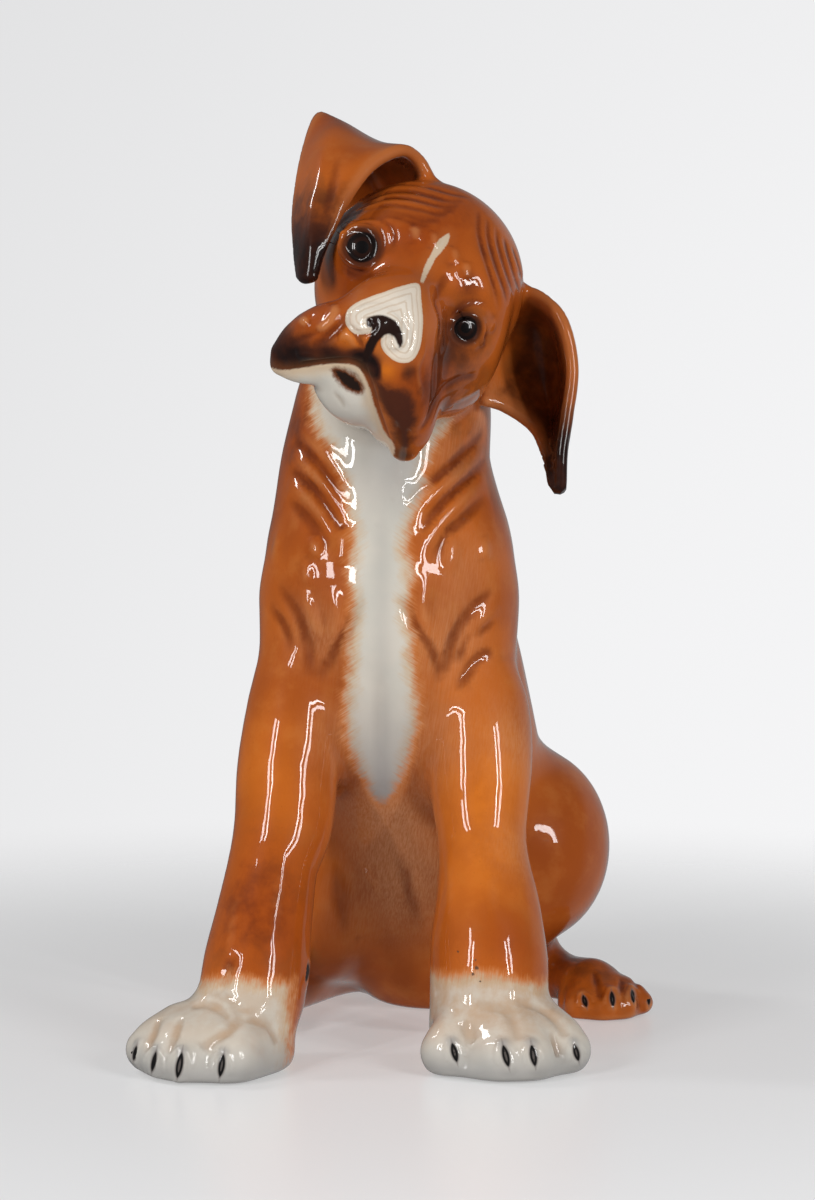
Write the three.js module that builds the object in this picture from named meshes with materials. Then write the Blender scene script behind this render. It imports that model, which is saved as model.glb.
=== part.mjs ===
// A seated boxer puppy with its head on one side, cast in one piece and glazed.
//
// Millimetres, +Z up. The puppy faces -Y and its own left side is +X. The floor is z = 0 and
// the origin is the middle of the footprint's box.
//
// The figure has no straight edges, so it is described as a distance: every form below gives
// the distance of a point to its own skin, and the forms are blended into one skin. That skin
// is found on a grid, drawn tight, and thinned out to a mesh of flat facets.

import * as THREE from 'three';

// Driving dimensions
const SKULL_WIDTH = 99;
const SKULL_DEPTH = 98;
const SKULL_HEIGHT = 100;
const HEAD_CENTRE = [13.6, -36, 365];
const HEAD_ROLL = 37; // degrees, the crown leans to the puppy's left
const HEAD_YAW = 3; // degrees
const HEAD_PITCH = 2; // degrees
const EYE_RADIUS = 12;
const RIGHT_EYE = [-33.4, 42, -5.2]; // in the head's own axes, where the lids meet
const RIGHT_EYE_SIZE = 0.9;
const LEFT_EYE = [28.2, 47, -6.4];
const LEFT_EYE_SIZE = 0.77;
const EAR_THICKNESS = 6;
const SHOULDER_REACH = 31; // from the middle line to the middle of each shoulder
const FOREPAW_SIZE = 1.04; // the paw below is drawn at size 1, about 73 wide
const HINDPAW_SIZE = 0.65;
// Toes of each paw, from the puppy's right to its left: [across, ahead, thickness]
const RIGHT_TOES = [[-28.5, -14, 9.5], [-18, -23, 9.5], [-5.5, -26.5, 10.5], [14.5, -21.5, 12]];
const LEFT_TOES = [[-27.5, -13, 12], [-5, -25, 11], [8.5, -25.5, 10.5], [25.5, -13, 11]];
const HIND_TOES = [[-24, -14, 11], [-8, -24, 11.5], [8, -24, 11], [26, -13, 10.5]];
const FOOT_ROUNDING = 3; // how softly the skin turns into the flat underside

// Meshing
const GRID_STEP = 2.8;
const BLOCK = 4; // grid steps to a block; blocks far from the skin are skipped
const REGION = { low: [-134, -141, -6.4], high: [148, 188, 466] };
const TRIANGLES = 9900;
// Places that keep finer facets than the rest: middle, radius and weight
const FINE_PLACES = [
  [[-20, -78, 340], 60, 7], // muzzle and right eye
  [[38, -78, 345], 40, 7], // left eye
  [[-2, -55, 270], 60, 4], // folds of the neck
  [[-2, -55, 202], 55, 4], // folds of the breast
];
const BLEND_MARGIN = 26; // beyond this distance a form no longer touches the blend

// The colour of the glaze where it is plain
const GLAZE_BROWN = 0x9c4a1c;

// Blending of distances

function unite(a, b, width) {
  const overlap = Math.max(width - Math.abs(a - b), 0) / width;
  return Math.min(a, b) - overlap * overlap * width / 4;
}

function intersect(a, b, width) {
  return -unite(-a, -b, width);
}

// Smooth curves through a few stations

function curvePoint(stations, t) {
  const last = stations.length - 1;
  const i = Math.min(Math.max(Math.floor(t), 0), last - 1);
  const u = t - i;
  const b = stations[i];
  const c = stations[i + 1];
  const a = i > 0 ? stations[i - 1] : b.map((v, k) => 2 * v - c[k]);
  const d = i + 2 <= last ? stations[i + 2] : c.map((v, k) => 2 * v - b[k]);
  return b.map((v, k) => 0.5 * (2 * v + (c[k] - a[k]) * u
    + (2 * a[k] - 5 * v + 4 * c[k] - d[k]) * u * u
    + (3 * v - a[k] - 3 * c[k] + d[k]) * u * u * u));
}

// Forms. Each has a box, low and high, and a distance(x, y, z).

function oval(centre, radii) {
  const [cx, cy, cz] = centre;
  const [rx, ry, rz] = radii;
  return {
    low: centre.map((v, k) => v - radii[k]),
    high: centre.map((v, k) => v + radii[k]),
    distance(x, y, z) {
      const px = (x - cx) / rx;
      const py = (y - cy) / ry;
      const pz = (z - cz) / rz;
      const near = Math.hypot(px, py, pz);
      const slope = Math.hypot(px / rx, py / ry, pz / rz);
      return near * (near - 1) / Math.max(slope, 1e-6);
    },
  };
}

// A limb is a tube along stations of [x, y, z, radius]; squeeze thins it along y.
function limb(stations, squeeze = 1) {
  const perSpan = 5;
  const spans = stations.length - 1;
  const samples = [];
  for (let i = 0; i <= spans * perSpan; i += 1) {
    const s = curvePoint(stations, i / perSpan);
    samples.push([s[0], s[1] * squeeze, s[2], s[3]]);
  }
  const reach = (pick, sign) => [0, 1, 2].map((k) => {
    const scale = k === 1 ? squeeze : 1;
    return pick(...samples.map((s) => (s[k] + sign * s[3]) / scale));
  });
  const gap = (s, x, y, z) => Math.hypot(x - s[0], y - s[1], z - s[2]) - s[3];
  return {
    low: reach(Math.min, -1),
    high: reach(Math.max, 1),
    distance(x, yFull, z) {
      const y = yFull * squeeze;
      let best = 0;
      let least = Infinity;
      for (let i = 0; i < samples.length; i += 1) {
        const d = gap(samples[i], x, y, z);
        if (d < least) {
          least = d;
          best = i;
        }
      }
      // the nearest place lies on a parabola through three samples
      const mid = Math.min(Math.max(best, 1), samples.length - 2);
      const before = gap(samples[mid - 1], x, y, z);
      const here = gap(samples[mid], x, y, z);
      const after = gap(samples[mid + 1], x, y, z);
      const bend = before - 2 * here + after;
      let shift = best - mid;
      if (bend > 1e-9) {
        shift = Math.min(Math.max(0.5 * (before - after) / bend, -1.2), 1.2);
      }
      const t = Math.min(Math.max((mid + shift) / perSpan, 0), spans);
      const s = curvePoint(stations, t);
      return Math.hypot(x - s[0], y - s[1] * squeeze, z - s[2]) - s[3];
    },
  };
}

// A leaf is a curved sheet through rows of guide points, thick enough to be a ceramic ear.
function leaf(rows, thickness) {
  const spansU = rows.length - 1;
  const spansV = rows[0].length - 1;
  const place = (u, v) => curvePoint(rows.map((row) => curvePoint(row, v)), u);
  const perSpan = 4;
  const samples = [];
  for (let i = 0; i <= spansU * perSpan; i += 1) {
    for (let j = 0; j <= spansV * perSpan; j += 1) {
      const u = i / perSpan;
      const v = j / perSpan;
      samples.push({ u, v, p: place(u, v) });
    }
  }
  const half = thickness / 2;
  const low = [0, 1, 2].map((k) => Math.min(...samples.map((s) => s.p[k])) - half);
  const high = [0, 1, 2].map((k) => Math.max(...samples.map((s) => s.p[k])) + half);
  const tiny = 0.02;
  const clamp = (value, top) => Math.min(Math.max(value, 0), top);
  return {
    low,
    high,
    distance(x, y, z) {
      let start = samples[0];
      let least = Infinity;
      for (const s of samples) {
        const d = (x - s.p[0]) ** 2 + (y - s.p[1]) ** 2 + (z - s.p[2]) ** 2;
        if (d < least) {
          least = d;
          start = s;
        }
      }
      let { u, v } = start;
      for (let round = 0; round < 3; round += 1) {
        const p = place(u, v);
        const du = place(u + tiny, v).map((value, k) => (value - p[k]) / tiny);
        const dv = place(u, v + tiny).map((value, k) => (value - p[k]) / tiny);
        const away = [x - p[0], y - p[1], z - p[2]];
        const dot = (a, b) => a[0] * b[0] + a[1] * b[1] + a[2] * b[2];
        least = Math.min(least, dot(away, away));
        const uu = dot(du, du);
        const uv = dot(du, dv);
        const vv = dot(dv, dv);
        const eu = dot(away, du);
        const ev = dot(away, dv);
        const det = uu * vv - uv * uv + 1e-6;
        let stepU = (vv * eu - uv * ev) / det;
        let stepV = (uu * ev - uv * eu) / det;
        const heldU = (u <= 0 && stepU < 0) || (u >= spansU && stepU > 0);
        const heldV = (v <= 0 && stepV < 0) || (v >= spansV && stepV > 0);
        if (heldU) {
          stepV = ev / (vv + 1e-6);
        }
        if (heldV) {
          stepU = eu / (uu + 1e-6);
        }
        u = clamp(u + (heldU ? 0 : Math.min(Math.max(stepU, -0.2), 0.2)), spansU);
        v = clamp(v + (heldV ? 0 : Math.min(Math.max(stepV, -0.2), 0.2)), spansV);
      }
      const p = place(u, v);
      const last = (x - p[0]) ** 2 + (y - p[1]) ** 2 + (z - p[2]) ** 2;
      return Math.sqrt(Math.min(least, last)) - half;
    },
  };
}

// A group of forms, each joined to those before it with its own blending width
function blend(parts) {
  const low = [0, 1, 2].map((k) => Math.min(...parts.map(([, form]) => form.low[k])));
  const high = [0, 1, 2].map((k) => Math.max(...parts.map(([, form]) => form.high[k])));
  return {
    low,
    high,
    distance(x, y, z) {
      let total = Infinity;
      for (const [width, form] of parts) {
        const d = bounded(form, x, y, z);
        total = total === Infinity ? d : unite(total, d, width);
      }
      return total;
    },
  };
}

function bounded(form, x, y, z) {
  const ax = Math.max(form.low[0] - x, x - form.high[0], 0);
  const ay = Math.max(form.low[1] - y, y - form.high[1], 0);
  const az = Math.max(form.low[2] - z, z - form.high[2], 0);
  const outside = Math.hypot(ax, ay, az);
  return outside > BLEND_MARGIN ? outside : form.distance(x, y, z);
}

// A form drawn in its own axes and set into the figure. axes are the rows of a rotation.
function placed(form, origin, axes, size) {
  const middle = form.low.map((v, k) => (v + form.high[k]) / 2);
  const radius = Math.hypot(...form.low.map((v, k) => (form.high[k] - v) / 2)) * size;
  const centre = [0, 1, 2].map((k) => origin[k]
    + size * (middle[0] * axes[0][k] + middle[1] * axes[1][k] + middle[2] * axes[2][k]));
  return {
    low: centre.map((v) => v - radius),
    high: centre.map((v) => v + radius),
    distance(x, y, z) {
      const dx = (x - origin[0]) / size;
      const dy = (y - origin[1]) / size;
      const dz = (z - origin[2]) / size;
      return size * form.distance(
        dx * axes[0][0] + dy * axes[0][1] + dz * axes[0][2],
        dx * axes[1][0] + dy * axes[1][1] + dz * axes[1][2],
        dx * axes[2][0] + dy * axes[2][1] + dz * axes[2][2],
      );
    },
  };
}

// Body: a leaning barrel from the neck down to the rump, with breast, shoulders and belly
function body() {
  return blend([
    [0, limb([[0, 3, 300, 45.5], [-3, 4, 276, 48.5], [-1.5, 6, 250, 53.5], [-1, 10, 222, 55],
      [8, 30, 165, 60], [18, 58, 100, 63], [22, 84, 58, 62]])],
    [20, oval([-2, -18, 212], [40, 38, 56])],
    [14, limb([[-3, -12, 196, 38], [-4, -7, 165, 36], [-4, -2, 140, 29], [-4, 4, 122, 19]])],
    [16, oval([-SHOULDER_REACH, -8, 226], [29, 34, 48])],
    [16, oval([SHOULDER_REACH, -6, 224], [29, 34, 48])],
    [24, oval([26, 100, 48], [54, 52, 50])],
    [16, oval([22, 78, 36], [34, 40, 44])],
    [14, limb([[5, -4, 335, 42], [1, 2, 305, 44.5], [-3, 4, 275, 47.5]])],
  ]);
}

function hindquarters() {
  return blend([
    [14, oval([70, 62, 84], [42, 50, 50])],
    [14, oval([-36, 62, 62], [38, 50, 50])],
    [8, limb([[72, 100, 15, 16], [90, 76, 12, 12.5], [102, 54, 13, 13]])],
    [8, limb([[-34, 92, 16, 18], [-48, 58, 13, 14], [-62, 28, 13, 13]])],
    [8, limb([[26, 140, 34, 13], [29, 156, 44, 10.5], [31, 166, 56, 7.5]])],
  ]);
}

function forelegs() {
  return blend([
    [12, limb([[-38, -10, 212, 24], [-42, -16, 185, 22.5], [-46, -24, 160, 24],
      [-49.5, -32, 134, 24.5], [-51.5, -40, 108, 23.5], [-56, -48, 90, 21.5],
      [-60, -57, 66, 23], [-63, -66, 46, 25], [-65, -72, 32, 25]], 0.95)],
    [12, limb([[34, -10, 212, 24], [37, -14, 182, 22.5], [42, -20, 160, 25],
      [42.8, -28, 135, 25.5], [43.5, -38, 106, 21.8], [44.5, -46, 90, 21.8],
      [46, -54, 72, 24.5], [46, -61, 56, 27], [46.5, -66, 40, 28], [45.5, -68, 22, 27]], 0.95)],
  ]);
}

// One paw in its own axes, toes towards -y, standing on z = 0
function paw(toes) {
  const toe = ([x, y, r]) => limb([[0.7 * x, 0.2 * y, 18, 0.85 * r],
    [0.88 * x, 0.7 * y, 14.5, 0.97 * r], [x, y, 10, r]]);
  return blend([
    [0, oval([0, 5, 12], [30, 30, 20])],
    [8, oval([0, 8, 6], [31, 28, 13])],
    ...toes.map((place) => [8, toe(place)]),
    [6, oval([-1, -3, 4], [31, 32, 9])],
  ]);
}

function turned(degrees) {
  const a = THREE.MathUtils.degToRad(degrees);
  return [[Math.cos(a), Math.sin(a), 0], [-Math.sin(a), Math.cos(a), 0], [0, 0, 1]];
}

function paws() {
  return blend([
    [0, placed(paw(RIGHT_TOES), [-80, -86, 0], turned(-16), FOREPAW_SIZE)],
    [1, placed(paw(LEFT_TOES), [54, -82, 0], turned(4), FOREPAW_SIZE)],
    [1, placed(paw(HIND_TOES), [107, 42, 0], turned(16), HINDPAW_SIZE)],
    [1, placed(paw(HIND_TOES), [-68, 10, 0], turned(-24), HINDPAW_SIZE)],
  ]);
}

// An eye with its lids. side is 1 for the left eye and -1 for the right one, lean is how far
// the outer corner lies behind the inner one.
function eye([x, y, z], side, size, lean) {
  const rim = (stations) => limb(stations.map(([out, forward, up, r]) => [
    x + side * out * size, y + (forward - lean * out) * size, z + up * size, r * size,
  ]));
  const ball = EYE_RADIUS * size;
  const outward = 4; // the ball looks a little to the side
  const depth = 9.4;
  return [
    [1, oval([x - side * lean * outward * size, y - depth * size, z], [ball, ball, ball])],
    [2, rim([[-10, -1.5, -2, 1.7], [-6.5, 0, 5.5, 2.2], [0, 1, 9.2, 2.7], [7, 0.4, 7, 2.3],
      [10.5, -1, 0, 1.7]])],
    [2, rim([[-10, -1.5, -2, 1.7], [-6.5, -0.4, -7.5, 2], [0, 0, -9.6, 2.2],
      [7.5, -0.4, -6.5, 2], [10.5, -1, 0, 1.7]])],
  ];
}

// Head in its own axes: x to the puppy's left, y forward, z to the crown
function head() {
  return blend([
    [0, oval([0, 0, 0], [SKULL_WIDTH / 2, SKULL_DEPTH / 2, SKULL_HEIGHT / 2])],
    [10, oval([1, -14, -4], [43, 42, 41])],
    // brows and cheeks
    [10, oval([-17, 30, 12], [20, 18, 14])],
    [10, oval([17, 30, 12], [20, 18, 14])],
    [8, oval([-29, 26, -4], [16, 15, 18])],
    [8, oval([29, 26, -4], [16, 15, 18])],
    [6, oval([-15, 14, -22], [17, 26, 20])],
    [12, oval([30, 12, -24], [24, 32, 28])],
    [12, oval([7, 14, -50], [28, 36, 23])],
    [12, oval([28, 36, -34], [16, 21, 22])],
    // bridge of the nose and the block of the muzzle
    [13, limb([[-1, 34, -6, 20], [-1, 58, -18, 17], [-1, 70, -24, 14]])],
    [13, oval([3, 54, -38], [28, 24, 21])],
    // hanging upper lips, right and left
    [7, limb([[-11, 66, -37, 13.5], [-20, 61, -46, 14.5], [-26.5, 53, -56, 12.2],
      [-30.5, 47, -65, 8]])],
    [10, limb([[11, 67, -40, 13.5], [22, 61, -49, 14.5], [31.5, 52, -57, 12.5],
      [37.5, 44, -66, 7.5]])],
    // chin and lower lip
    [4, oval([4, 45, -57], [23, 22, 18])],
    [3, limb([[-30, 43, -70, 5.5], [-22, 50, -66, 7.5], [-9, 57, -57.5, 8.5], [3, 59, -54, 8.5],
      [15, 55, -59, 8], [24, 48, -65, 6.5], [29, 42, -68, 4]])],
    // nose
    [9, oval([-2, 62, -24], [21, 15, 16])],
    [4, oval([-2, 76, -33], [15, 9, 11])],
    ...eye(RIGHT_EYE, -1, RIGHT_EYE_SIZE, 0.4),
    ...eye(LEFT_EYE, 1, LEFT_EYE_SIZE, 0.45),
  ]);
}

// The rows of the head's axes: rolled to the side, then turned and lifted a little
function headAxes() {
  const roll = THREE.MathUtils.degToRad(HEAD_ROLL);
  const yaw = THREE.MathUtils.degToRad(HEAD_YAW);
  const pitch = THREE.MathUtils.degToRad(HEAD_PITCH);
  const side = new THREE.Vector3(Math.cos(roll), 0, -Math.sin(roll));
  const front = new THREE.Vector3(0, -1, 0);
  const crown = new THREE.Vector3(Math.sin(roll), 0, Math.cos(roll));
  const mix = (a, b, angle) => a.clone().multiplyScalar(Math.cos(angle))
    .addScaledVector(b, Math.sin(angle));
  const turnedFront = mix(front, side, yaw);
  const turnedSide = mix(side, front, -yaw);
  const liftedFront = mix(turnedFront, crown, pitch);
  const liftedCrown = mix(crown, turnedFront, -pitch);
  return [turnedSide.toArray(), liftedFront.toArray(), liftedCrown.toArray()];
}

// Right ear: stands up from the skull, folds over and hangs with its back to the front.
// Each row runs from the front edge to the rear edge, the rows from the skull to the tip.
function rightEar() {
  return leaf([
    [[19.5, -40, 413], [10, -4, 416], [-3.5, 14, 410], [-19, 4, 396.5]],
    [[13, -42, 424], [3.5, -10, 428], [-11.5, 10, 427], [-27, 6, 418]],
    [[4, -50, 427.5], [-8, -30, 431.5], [-21.5, -12, 441.5], [-33, -6, 447.5]],
    [[-10.5, -60, 418.5], [-19, -54, 423.5], [-29.5, -42, 431.5], [-39.5, -26, 430.5]],
    [[-23.5, -70, 399], [-29.5, -69, 400.5], [-37, -60, 403], [-43.5, -46, 401]],
    [[-32.5, -75, 379.5], [-35, -76, 378.5], [-39, -71, 378.5], [-42.5, -61, 380.5]],
    [[-36, -76, 367.5], [-37.5, -76, 367], [-39.5, -73, 367], [-41, -68, 368.5]],
  ], EAR_THICKNESS);
}

// Left ear: hangs straight down beside the cheek and shows its hollow side.
function leftEar() {
  return leaf([
    [[62.5, -34, 363.5], [57.5, -14, 350], [52, -14, 330.5], [46, -24, 311]],
    [[72.5, -38, 358.5], [71.5, -10, 347.5], [64, -6, 326], [54, -22, 308.5]],
    [[81.5, -44, 347.5], [81, -12, 334.5], [74.5, -4, 315.5], [64, -22, 302.5]],
    [[86, -46, 326], [84.5, -20, 314.5], [78.5, -12, 302.5], [70.5, -26, 296]],
    [[83.5, -48, 303.5], [81, -36, 295], [78, -30, 289], [74.5, -36, 285.5]],
    [[81, -50, 287], [80, -44, 282.5], [78, -40, 278.5], [76, -44, 277]],
    [[80.5, -50, 270], [80, -48, 269], [79, -47, 269], [78, -48, 269.5]],
  ], EAR_THICKNESS);
}

// Folds of loose skin on the neck and between the muscles of the breast. Each is a line of
// [x, z] points in the front view, laid on the figure. A groove has a positive depth, a ridge
// a negative one.
function folds() {
  const rows = [
    [-1.7, 5.7, [[-42, 293], [-32, 285], [-21, 272]]],
    [1.5, 4.4, [[-45, 287], [-34, 279], [-24, 267]]],
    [-1.8, 5.7, [[-46, 283], [-34, 275], [-26, 266], [-18, 252]]],
    [1.5, 4.4, [[-47, 275], [-35, 268], [-26, 258]]],
    [-1.4, 5.7, [[-48, 268], [-35, 262], [-24, 253]]],
    [1.8, 4.6, [[40, 290], [29, 280], [19, 273], [8, 266]]],
    [-1.5, 5.3, [[42, 284], [30, 275], [20, 267], [8, 260]]],
    [-1.4, 5.3, [[11, 280], [4, 268], [-2, 254]]],
    [1.8, 4.6, [[45, 284], [32, 270], [24, 261], [16, 248]]],
    [-1.5, 5.3, [[43, 276], [31, 263], [22, 254], [13, 243]]],
    [1.7, 5.7, [[-49, 218], [-43, 204], [-38, 190]]],
    [-1.4, 5.7, [[-28, 218], [-24, 208], [-26, 199], [-31, 188]]],
    [1.7, 5.1, [[-14, 216], [-20, 203], [-27, 193], [-34, 182]]],
    [1.8, 5.3, [[5, 217], [13, 204], [20, 196], [25, 184]]],
    [-1.5, 5.7, [[18, 225], [15, 212], [18, 203], [25, 193]]],
    [1.7, 5.7, [[44, 216], [34, 206], [27, 194]]],
    [1.5, 5.3, [[45, 204], [35, 196], [27, 185]]],
    [1.2, 5.3, [[44, 192], [33, 182]]],
    [1.2, 6.9, [[-5, 200], [-5, 175], [-5, 150], [-5, 128]]],
  ];
  return rows.map(([depth, width, points]) => ({ depth, width, points }));
}

// How far a fold moves the skin near a point. It fades towards both ends of its line.
function foldOn(distance, { depth, width, points }) {
  const laid = points.map(([x, z]) => {
    let y = REGION.low[1];
    for (let step = 0; step < 50; step += 1) {
      y += 0.9 * distance(x, y, z);
    }
    return [x, y, z];
  });
  const perSpan = 4;
  const count = (points.length - 1) * perSpan;
  const line = Array.from({ length: count + 1 }, (_, n) => curvePoint(laid, n / perSpan));
  const reach = 2.6 * width;
  const low = [0, 1, 2].map((k) => Math.min(...line.map((p) => p[k])) - reach);
  const high = [0, 1, 2].map((k) => Math.max(...line.map((p) => p[k])) + reach);
  const shape = 0.6; // below 1 the fold keeps its depth for longer before it fades
  return (x, y, z) => {
    if (x < low[0] || x > high[0] || y < low[1] || y > high[1] || z < low[2] || z > high[2]) {
      return 0;
    }
    let least = Infinity;
    let along = 0;
    for (let n = 0; n < count; n += 1) {
      const [a, b] = [line[n], line[n + 1]];
      const ab = [b[0] - a[0], b[1] - a[1], b[2] - a[2]];
      const ap = [x - a[0], y - a[1], z - a[2]];
      const dot = (ap[0] * ab[0] + ap[1] * ab[1] + ap[2] * ab[2])
        / (ab[0] ** 2 + ab[1] ** 2 + ab[2] ** 2);
      const t = Math.min(Math.max(dot, 0), 1);
      const d = (ap[0] - t * ab[0]) ** 2 + (ap[1] - t * ab[1]) ** 2 + (ap[2] - t * ab[2]) ** 2;
      if (d < least) {
        least = d;
        along = (n + t) / count;
      }
    }
    return depth * Math.exp(-least / width ** 2) * Math.sin(Math.PI * along) ** shape;
  };
}

function figure() {
  const whole = blend([
    [0, body()],
    [14, hindquarters()],
    [12, forelegs()],
    [9, paws()],
    [8, placed(head(), HEAD_CENTRE, headAxes(), 1)],
    [4, rightEar()],
    [4, leftEar()],
  ]);
  const smooth = (x, y, z) => intersect(whole.distance(x, y, z), -z, FOOT_ROUNDING);
  const pressed = folds().map((fold) => foldOn(smooth, fold));
  return (x, y, z) => pressed.reduce((sum, push) => sum + push(x, y, z), smooth(x, y, z));
}

// The skin as a mesh: one point in every grid cell that the skin passes through, and a
// four-sided facet around every grid edge that it crosses

function sampleGrid(distance) {
  const count = REGION.low.map((v, k) => {
    const steps = Math.ceil((REGION.high[k] - v) / GRID_STEP / BLOCK) * BLOCK;
    return steps + 1;
  });
  const [nx, ny, nz] = count;
  const values = new Float32Array(nx * ny * nz);
  const index = (i, j, k) => (i * ny + j) * nz + k;
  const at = (k, n) => REGION.low[k] + n * GRID_STEP;
  const reach = BLOCK * GRID_STEP * Math.sqrt(3) / 2 * 1.2 + 2;
  const span = (start, total) => Math.min(start + BLOCK, total);
  for (let bi = 0; bi < nx; bi += BLOCK) {
    for (let bj = 0; bj < ny; bj += BLOCK) {
      for (let bk = 0; bk < nz; bk += BLOCK) {
        const half = (BLOCK - 1) / 2;
        const middle = distance(at(0, bi + half), at(1, bj + half), at(2, bk + half));
        const close = Math.abs(middle) < reach;
        for (let i = bi; i < span(bi, nx); i += 1) {
          for (let j = bj; j < span(bj, ny); j += 1) {
            for (let k = bk; k < span(bk, nz); k += 1) {
              values[index(i, j, k)] = close ? distance(at(0, i), at(1, j), at(2, k)) : middle;
            }
          }
        }
      }
    }
  }
  return { count, values, index, at };
}

// A grid square whose opposite corners are inside would tie two stretches of skin together
// along an edge, so the nearer of its outside corners is counted as inside.
function closeSaddles({ count, values, index }) {
  const [nx, ny, nz] = count;
  const barelyInside = -0.01;
  const steps = [[0, 1, 0, 0, 0, 1], [0, 0, 1, 1, 0, 0], [1, 0, 0, 0, 1, 0]];
  let changed = true;
  while (changed) {
    changed = false;
    for (let i = 0; i < nx - 1; i += 1) {
      for (let j = 0; j < ny - 1; j += 1) {
        for (let k = 0; k < nz - 1; k += 1) {
          for (const [ax, ay, az, bx, by, bz] of steps) {
            const ring = [index(i, j, k), index(i + ax, j + ay, k + az),
              index(i + ax + bx, j + ay + by, k + az + bz), index(i + bx, j + by, k + bz)];
            const inside = ring.map((n) => values[n] < 0);
            if (inside[0] === inside[2] && inside[1] === inside[3] && inside[0] !== inside[1]) {
              const outer = ring.filter((n, corner) => !inside[corner]);
              const nearer = values[outer[0]] < values[outer[1]] ? outer[0] : outer[1];
              values[nearer] = barelyInside;
              changed = true;
            }
          }
        }
      }
    }
  }
}

function skinMesh(distance) {
  const grid = sampleGrid(distance);
  closeSaddles(grid);
  const { count, values, index, at } = grid;
  const [nx, ny, nz] = count;
  const cell = new Int32Array(nx * ny * nz).fill(-1);
  const points = [];
  const corners = [];
  for (let n = 0; n < 8; n += 1) {
    corners.push([n & 1, (n >> 1) & 1, (n >> 2) & 1]);
  }
  const edges = [];
  for (let a = 0; a < 8; a += 1) {
    for (const bit of [1, 2, 4]) {
      if (!(a & bit)) {
        edges.push([a, a | bit]);
      }
    }
  }
  for (let i = 0; i < nx - 1; i += 1) {
    for (let j = 0; j < ny - 1; j += 1) {
      for (let k = 0; k < nz - 1; k += 1) {
        const f = corners.map((c) => values[index(i + c[0], j + c[1], k + c[2])]);
        const inside = f.filter((v) => v < 0).length;
        if (inside === 0 || inside === 8) {
          continue;
        }
        const sum = [0, 0, 0];
        let crossings = 0;
        for (const [a, b] of edges) {
          if ((f[a] < 0) !== (f[b] < 0)) {
            const t = f[a] / (f[a] - f[b]);
            for (let n = 0; n < 3; n += 1) {
              sum[n] += corners[a][n] + t * (corners[b][n] - corners[a][n]);
            }
            crossings += 1;
          }
        }
        cell[index(i, j, k)] = points.length / 3;
        points.push(at(0, i + sum[0] / crossings), at(1, j + sum[1] / crossings),
          at(2, k + sum[2] / crossings));
      }
    }
  }
  const faces = [];
  const axisSteps = [[1, 0, 0], [0, 1, 0], [0, 0, 1]];
  for (let i = 1; i < nx - 1; i += 1) {
    for (let j = 1; j < ny - 1; j += 1) {
      for (let k = 1; k < nz - 1; k += 1) {
        const here = values[index(i, j, k)] < 0;
        for (let axis = 0; axis < 3; axis += 1) {
          const s = axisSteps[axis];
          if (here === (values[index(i + s[0], j + s[1], k + s[2])] < 0)) {
            continue;
          }
          const p = axisSteps[(axis + 1) % 3];
          const q = axisSteps[(axis + 2) % 3];
          const ring = [
            cell[index(i - p[0] - q[0], j - p[1] - q[1], k - p[2] - q[2])],
            cell[index(i - q[0], j - q[1], k - q[2])],
            cell[index(i, j, k)],
            cell[index(i - p[0], j - p[1], k - p[2])],
          ];
          if (!here) {
            ring.reverse();
          }
          faces.push(ring[0], ring[1], ring[2], ring[0], ring[2], ring[3]);
        }
      }
    }
  }
  return { points: Float64Array.from(points), faces: Int32Array.from(faces) };
}

// Draws every point onto the skin along the slope of the distance
function drawTight(mesh, distance) {
  const { points } = mesh;
  const reach = 0.2;
  const rounds = 2;
  const tetra = [[1, -1, -1], [-1, -1, 1], [-1, 1, -1], [1, 1, 1]];
  for (let round = 0; round < rounds; round += 1) {
    for (let v = 0; v < points.length; v += 3) {
      const [x, y, z] = points.subarray(v, v + 3);
      const slope = [0, 0, 0];
      for (const t of tetra) {
        const d = distance(x + t[0] * reach, y + t[1] * reach, z + t[2] * reach);
        for (let n = 0; n < 3; n += 1) {
          slope[n] += t[n] * d / (4 * reach);
        }
      }
      const square = Math.max(slope[0] ** 2 + slope[1] ** 2 + slope[2] ** 2, 0.1);
      const step = Math.min(Math.max(distance(x, y, z) / square, -2), 2);
      for (let n = 0; n < 3; n += 1) {
        points[v + n] -= step * slope[n];
      }
    }
  }
}

// Thinning: the edge whose loss bends the skin least is closed up, again and again

class Heap {
  constructor() {
    this.items = [];
  }

  push(item) {
    const { items } = this;
    let n = items.length;
    items.push(item);
    while (n > 0) {
      const parent = (n - 1) >> 1;
      if (items[parent].cost <= item.cost) {
        break;
      }
      items[n] = items[parent];
      n = parent;
    }
    items[n] = item;
  }

  pop() {
    const { items } = this;
    const top = items[0];
    const item = items.pop();
    const size = items.length;
    let n = 0;
    while (size > 0) {
      let child = 2 * n + 1;
      if (child >= size) {
        break;
      }
      if (child + 1 < size && items[child + 1].cost < items[child].cost) {
        child += 1;
      }
      if (items[child].cost >= item.cost) {
        break;
      }
      items[n] = items[child];
      n = child;
    }
    if (size > 0) {
      items[n] = item;
    }
    return top;
  }
}

function faceNormal(a, b, c) {
  const u = [b[0] - a[0], b[1] - a[1], b[2] - a[2]];
  const v = [c[0] - a[0], c[1] - a[1], c[2] - a[2]];
  return [u[1] * v[2] - u[2] * v[1], u[2] * v[0] - u[0] * v[2], u[0] * v[1] - u[1] * v[0]];
}

// A quadric sums squared distances to planes: ten numbers, for x2 xy xz x y2 yz y z2 z 1
function addPlane(quadric, n, offset, weight) {
  const row = [n[0], n[1], n[2], offset];
  let slot = 0;
  for (let a = 0; a < 4; a += 1) {
    for (let b = a; b < 4; b += 1) {
      quadric[slot] += weight * row[a] * row[b];
      slot += 1;
    }
  }
}

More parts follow.
